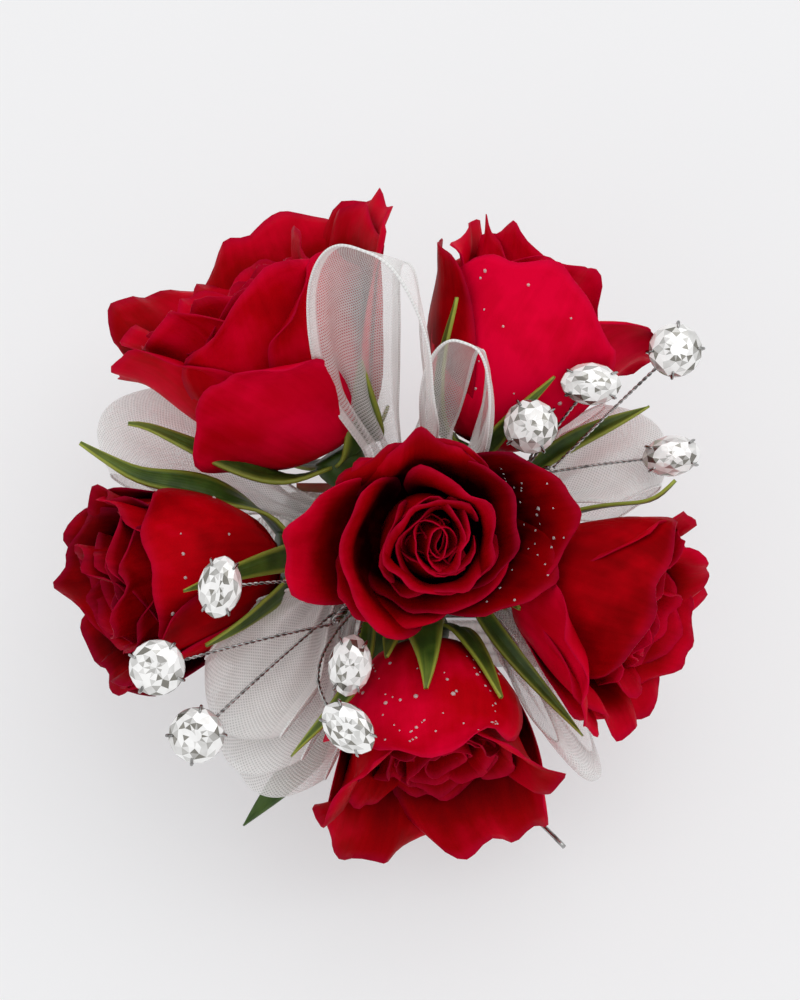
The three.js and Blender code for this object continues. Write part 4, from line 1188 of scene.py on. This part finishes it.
def branch_start(stem, k, finish):
    """Just past the stem's end, or beside its point k on the stone's side."""
    along = directions(stem)[k]
    if k == len(stem) - 1:
        return stem[k] + along * 2 * SEAT_GAP
    run = finish - stem[k]
    aside = unit(run - along * run.dot(along))
    return stem[k] + aside * (STEM_WIRE_RADIUS + BRANCH_WIRE_RADIUS + SEAT_GAP)


def add_strands(form, line, count, spread, radius, pitch):
    for k in range(count):
        form.add(tube(twisted(line, spread, pitch, 2 * math.pi * k / count), radius, STRAND_SIDES))


def add_branch(name, number, branch, stem, seed, finishes):
    centre = from_gather(branch.stone)
    k = int(round(branch.at * (len(stem) - 1)))
    axes = turned(branch.turn) @ stone_frame(centre - stem[k])
    shaped = marquise if branch.kind == "marquise" else np.asarray
    finish = centre - STONE_FACING * (CUP_BACK + COLLAR_LENGTH - COLLAR_OVERLAP)
    start = branch_start(stem, k, finish)
    line = bezier(start, (start + finish) / 2 + branch.bow, finish, BRANCH_STEPS)
    body = f"spray_{name}_bloom_{number}"
    metal = Form()
    add_strands(metal, line, 2, 0.5 * TWIST_RADIUS, 0.5 * TWIST_RADIUS, TWIST_PITCH)
    for points, faces in setting_shapes():
        metal.add((centre + shaped(points) @ axes, faces))
    metal.settle(
        f"spray_{name}_wire_{number}", finishes["silver"], "silver_wire", f"spray_{name}_branch_{number}",
        body=body,
    )
    stone = Form()
    points, faces, facets = brilliant(seed)
    stone.add((centre + shaped(points) @ axes, faces), facets)
    stone.settle(
        f"spray_{name}_brilliant_{number}", finishes["rhinestone"], "rhinestone",
        f"spray_{name}_stone_{number}", body=body, flat=True,
    )


def add_spray(name, spray, finishes):
    route, branches = spray
    stem = smooth_line(from_gather(route), STEM_STEPS)
    form = Form()
    add_strands(form, stem, 4, 0.5 * STEM_WIRE_RADIUS, TWIST_RADIUS, 2 * TWIST_PITCH)
    form.settle(f"spray_{name}_twist", finishes["silver"], "silver_wire", f"spray_{name}_stem")
    for k, branch in enumerate(branches):
        add_branch(name, k + 1, branch, stem, STONE_SEED + k + len(name), finishes)


# Leaves, loose wire, spine and wristband

def add_leaf(name, leaf, seed, finishes):
    rib = smooth_line(from_gather(leaf.midrib), BLADE_ROWS)
    along = directions(rib)
    across = unit(np.cross(along, UP))
    share = np.linspace(0, 1, BLADE_ROWS)
    rise = np.where(share < leaf.widest, share / leaf.widest, (1 - share) / (1 - leaf.widest))
    swell = BLADE_FOOT * (1 - share ** 4) + (1 - BLADE_FOOT) * np.sin(np.pi / 2 * rise)
    half = (leaf.width / 2 * swell + BLADE_TIP)[:, None]
    u = np.linspace(-1, 1, BLADE_COLUMNS)
    keel = BLADE_KEEL * half * np.abs(u)
    up = np.cross(across, along)
    middle = rib[:, None] + (half * u)[..., None] * across[:, None] + keel[..., None] * up[:, None]
    form = Form()
    add_blade(form, middle, BLADE_THICKNESS, seed, leaf.pale)
    form.settle(f"{name}_green", finishes["leaf"], "leaf_green", name)


def add_binding_wire(finishes):
    form = Form()
    line = smooth_line(from_gather(BINDING_WIRE), BINDING_WIRE_STEPS)
    form.add(tube(line, BINDING_WIRE_RADIUS, BINDING_WIRE_SIDES))
    form.settle("binding_wire_end", finishes["silver"], "silver_wire", "binding_wire")


def add_spine(finishes):
    """Stems bound together under spiral turns of tape."""
    place = np.linspace(-SPINE_LENGTH / 2, SPINE_LENGTH / 2, SPINE_ROWS)[:, None]
    angle = round_angles(SPINE_SIDES)[None, :]
    lap = (place / TAPE_PITCH + angle / (2 * math.pi)) % 1
    taper = SPINE_TAPER * eased(np.abs(place), SPINE_LENGTH / 2 - 2 * SPINE_TAPER, SPINE_LENGTH / 2)
    stems = STEM_BULGE * np.cos(SPINE_STEMS * angle + STEM_TWIST * place)
    radius = SPINE_RADIUS - taper - TAPE_STEP * lap - TAPE_INSET + stems
    rings = np.stack([place + 0 * angle, radius * np.cos(angle), radius * np.sin(angle)], axis=-1) + GATHER
    form = Form()
    form.add(hoops(rings), lap=lap)
    form.settle("stem_spine_tape", finishes["tape"], "floral_tape", "stem_spine")


def band_line():
    """The band's middle line in X and Z: down from the left eye, along the flat length and up again."""
    half = BAND_THICKNESS / 2
    start = BAND_FLAT_LENGTH / 2
    top = PLATE_BOTTOM - SEAT_GAP - half
    corners = [
        (start, half), (start + BAND_LOWER_TURN, half), (BAR_CENTRE + BAND_UPPER_TURN, top - BAND_SHOULDER),
        (BAR_CENTRE, top),
    ]
    t = np.linspace(0, 1, BAND_STEPS)[:, None]
    a, b, c, d = np.array(corners)
    rise = (1 - t) ** 3 * a + 3 * t * (1 - t) ** 2 * b + 3 * t * t * (1 - t) * c + t ** 3 * d
    flat = np.stack([np.linspace(-start, start, BAND_STEPS), np.full(BAND_STEPS, half)], axis=1)[1:-1]
    return np.concatenate([rise[::-1] * (-1, 1), flat, rise])


def eye_line(side):
    """The oval that the band's sewn end makes round the plate's end bar."""
    across = END_BAR_WIDTH / 2 + SEAT_GAP + BAND_THICKNESS / 2
    up = PLATE_THICKNESS / 2 + SEAT_GAP + BAND_THICKNESS / 2
    angle = np.linspace(0, 2 * math.pi, EYE_STEPS)
    x = across * np.sign(np.cos(angle)) * np.abs(np.cos(angle)) ** EYE_SQUARENESS
    z = up * np.sign(np.sin(angle)) * np.abs(np.sin(angle)) ** EYE_SQUARENESS
    return np.stack([side * BAR_CENTRE + x, PLATE_BOTTOM + PLATE_THICKNESS / 2 + z], axis=1)


def webbing(line):
    """Corded elastic of the band's width along a line in X and Z, with its painted values."""
    y = np.linspace(-BAND_WIDTH / 2, BAND_WIDTH / 2, BAND_COLUMNS)
    groove = np.abs(np.cos(math.pi * BAND_CORDS * (y / BAND_WIDTH + 0.5))) ** 6
    run = run_along(line)
    middle = np.stack(np.broadcast_arrays(line[:, :1], y[None, :], line[:, 1:]), axis=-1)
    thickness = BAND_THICKNESS - BAND_CORD_DEPTH * groove[None, :] + 0 * run[:, None]
    lap = np.floor((y / BAND_WIDTH + 0.5) * BAND_CORDS)
    paint = {
        "run": both_faces(np.repeat(run, BAND_COLUMNS)),
        "lap": both_faces(np.tile(lap, len(line))),
        "groove": both_faces(np.tile(groove, len(line))),
    }
    return skin(middle, thickness), paint


def add_band(finishes):
    form = Form()
    for line in (band_line(), eye_line(-1), eye_line(1)):
        shape, paint = webbing(line)
        form.add(shape, **paint)
    band = form.make("wristband_elastic", finishes["elastic"])
    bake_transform(band)
    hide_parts("elastic_lower", "elastic_left", "elastic_right")


# Stage

def floor_finish():
    """A pale floor that keeps the shadow, and is lifted where it is seen directly or mirrored."""
    finish = Finish("pale_floor")
    grain = finish.noise(0.02, 2.0)
    colour = finish.mix(grain, (0.93, 0.93, 0.935), (0.95, 0.95, 0.955))
    finish.coat(base_color=colour, roughness=0.7, specular_ior_level=0.2)
    lit = Value(finish, finish.surface.outputs[0])
    lift = finish.node("ShaderNodeEmission", inputs={"Color": FLOOR_LIFT_COLOUR})
    finish.show("Material Output", finish.seen() * FLOOR_LIFT, lit, lift)
    return finish.material


def add_floor():
    corners = FLOOR_REACH * np.array([(-1, -1, 0), (1, -1, 0), (1, 1, 0), (-1, 1, 0)]) - FLOOR_DROP * UP
    form = Form()
    form.add((corners, [[0, 1, 2, 3]]))
    form.make("floor", floor_finish())


def add_sky():
    """Even soft light, with a pale backdrop where it is seen directly or mirrored."""
    world = bpy.data.worlds.new("studio")
    bpy.context.scene.world = world
    world.use_nodes = True
    sky = Nodes(world.node_tree)
    light = sky.tree.nodes["Background"]
    sky.feed(light.inputs["Color"], SKY_COLOUR)
    sky.feed(light.inputs["Strength"], SKY_LEVEL)
    backdrop = sky.node("ShaderNodeBackground", inputs={"Color": BACKDROP_COLOUR})
    sky.show("World Output", sky.seen(), Value(sky, light.outputs[0]), backdrop)


def stand(name, data, place):
    """Adds a lamp or the camera at a place, facing the gather, with its top upwards."""
    thing = bpy.data.objects.new(name, data)
    bpy.context.scene.collection.objects.link(thing)
    back = unit(place - GATHER)
    right = unit(np.cross(UP, back))
    axes = np.array([right, np.cross(back, right), back])
    for row in range(3):
        for column in range(3):
            thing.matrix_world[row][column] = axes[column][row]
        thing.matrix_world[row][3] = place[row] * MM
    return thing


def add_lamp(name, lamp):
    light = bpy.data.lights.new(name, "AREA")
    light.size = lamp.size * MM
    light.energy = lamp.watts
    stand(name, light, np.array(lamp.place, float))


def add_camera():
    camera = bpy.data.cameras.new("camera")
    camera.sensor_fit = "VERTICAL"
    camera.sensor_height = SENSOR
    camera.lens = PIXELS_PER_MM * CAMERA_DISTANCE * SENSOR / PICTURE_HEIGHT
    camera.shift_x = -(GATHER_PIXEL[0] - PICTURE_WIDTH / 2) / PICTURE_HEIGHT
    camera.shift_y = (GATHER_PIXEL[1] - PICTURE_HEIGHT / 2) / PICTURE_HEIGHT
    camera.clip_start = 0.01
    elevation = math.radians(CAMERA_ELEVATION)
    place = GATHER + CAMERA_DISTANCE * np.array([0, -math.cos(elevation), math.sin(elevation)])
    bpy.context.scene.camera = stand("camera", camera, place)


def make_finishes():
    return {
        "petal": petal_finish(),
        "leaf": leaf_finish(),
        "tape": tape_finish(),
        "organza": organza_finish(),
        "selvage": selvage_finish(),
        "elastic": elastic_finish(),
        "steel": steel_finish(),
        "silver": silver_finish(),
        "rhinestone": rhinestone_finish(),
        "dew": dew_finish(),
    }


def main():
    add_camera()
    add_floor()
    add_sky()
    for name, lamp in LAMPS.items():
        add_lamp(name, lamp)
    bpy.context.scene.view_settings.view_transform = "Standard"
    finishes = make_finishes()
    add_spine(finishes)
    for order, (name, rose) in enumerate(ROSES.items()):
        add_rose(name, rose, ROSE_SEED * (order + 1), finishes)
    add_dew(finishes["dew"])
    for order, (name, loop) in enumerate(RIBBONS.items()):
        add_ribbon(name, loop, RIBBON_SEED + order, finishes)
    for name, spray in SPRAYS.items():
        add_spray(name, spray, finishes)
    for order, (name, leaf) in enumerate(LEAVES.items()):
        add_leaf(name, leaf, LEAF_SEED + order, finishes)
    add_binding_wire(finishes)
    add_band(finishes)
    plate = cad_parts["clip_plate"]
    plate.data.materials.clear()
    plate.data.materials.append(finishes["steel"])


main()
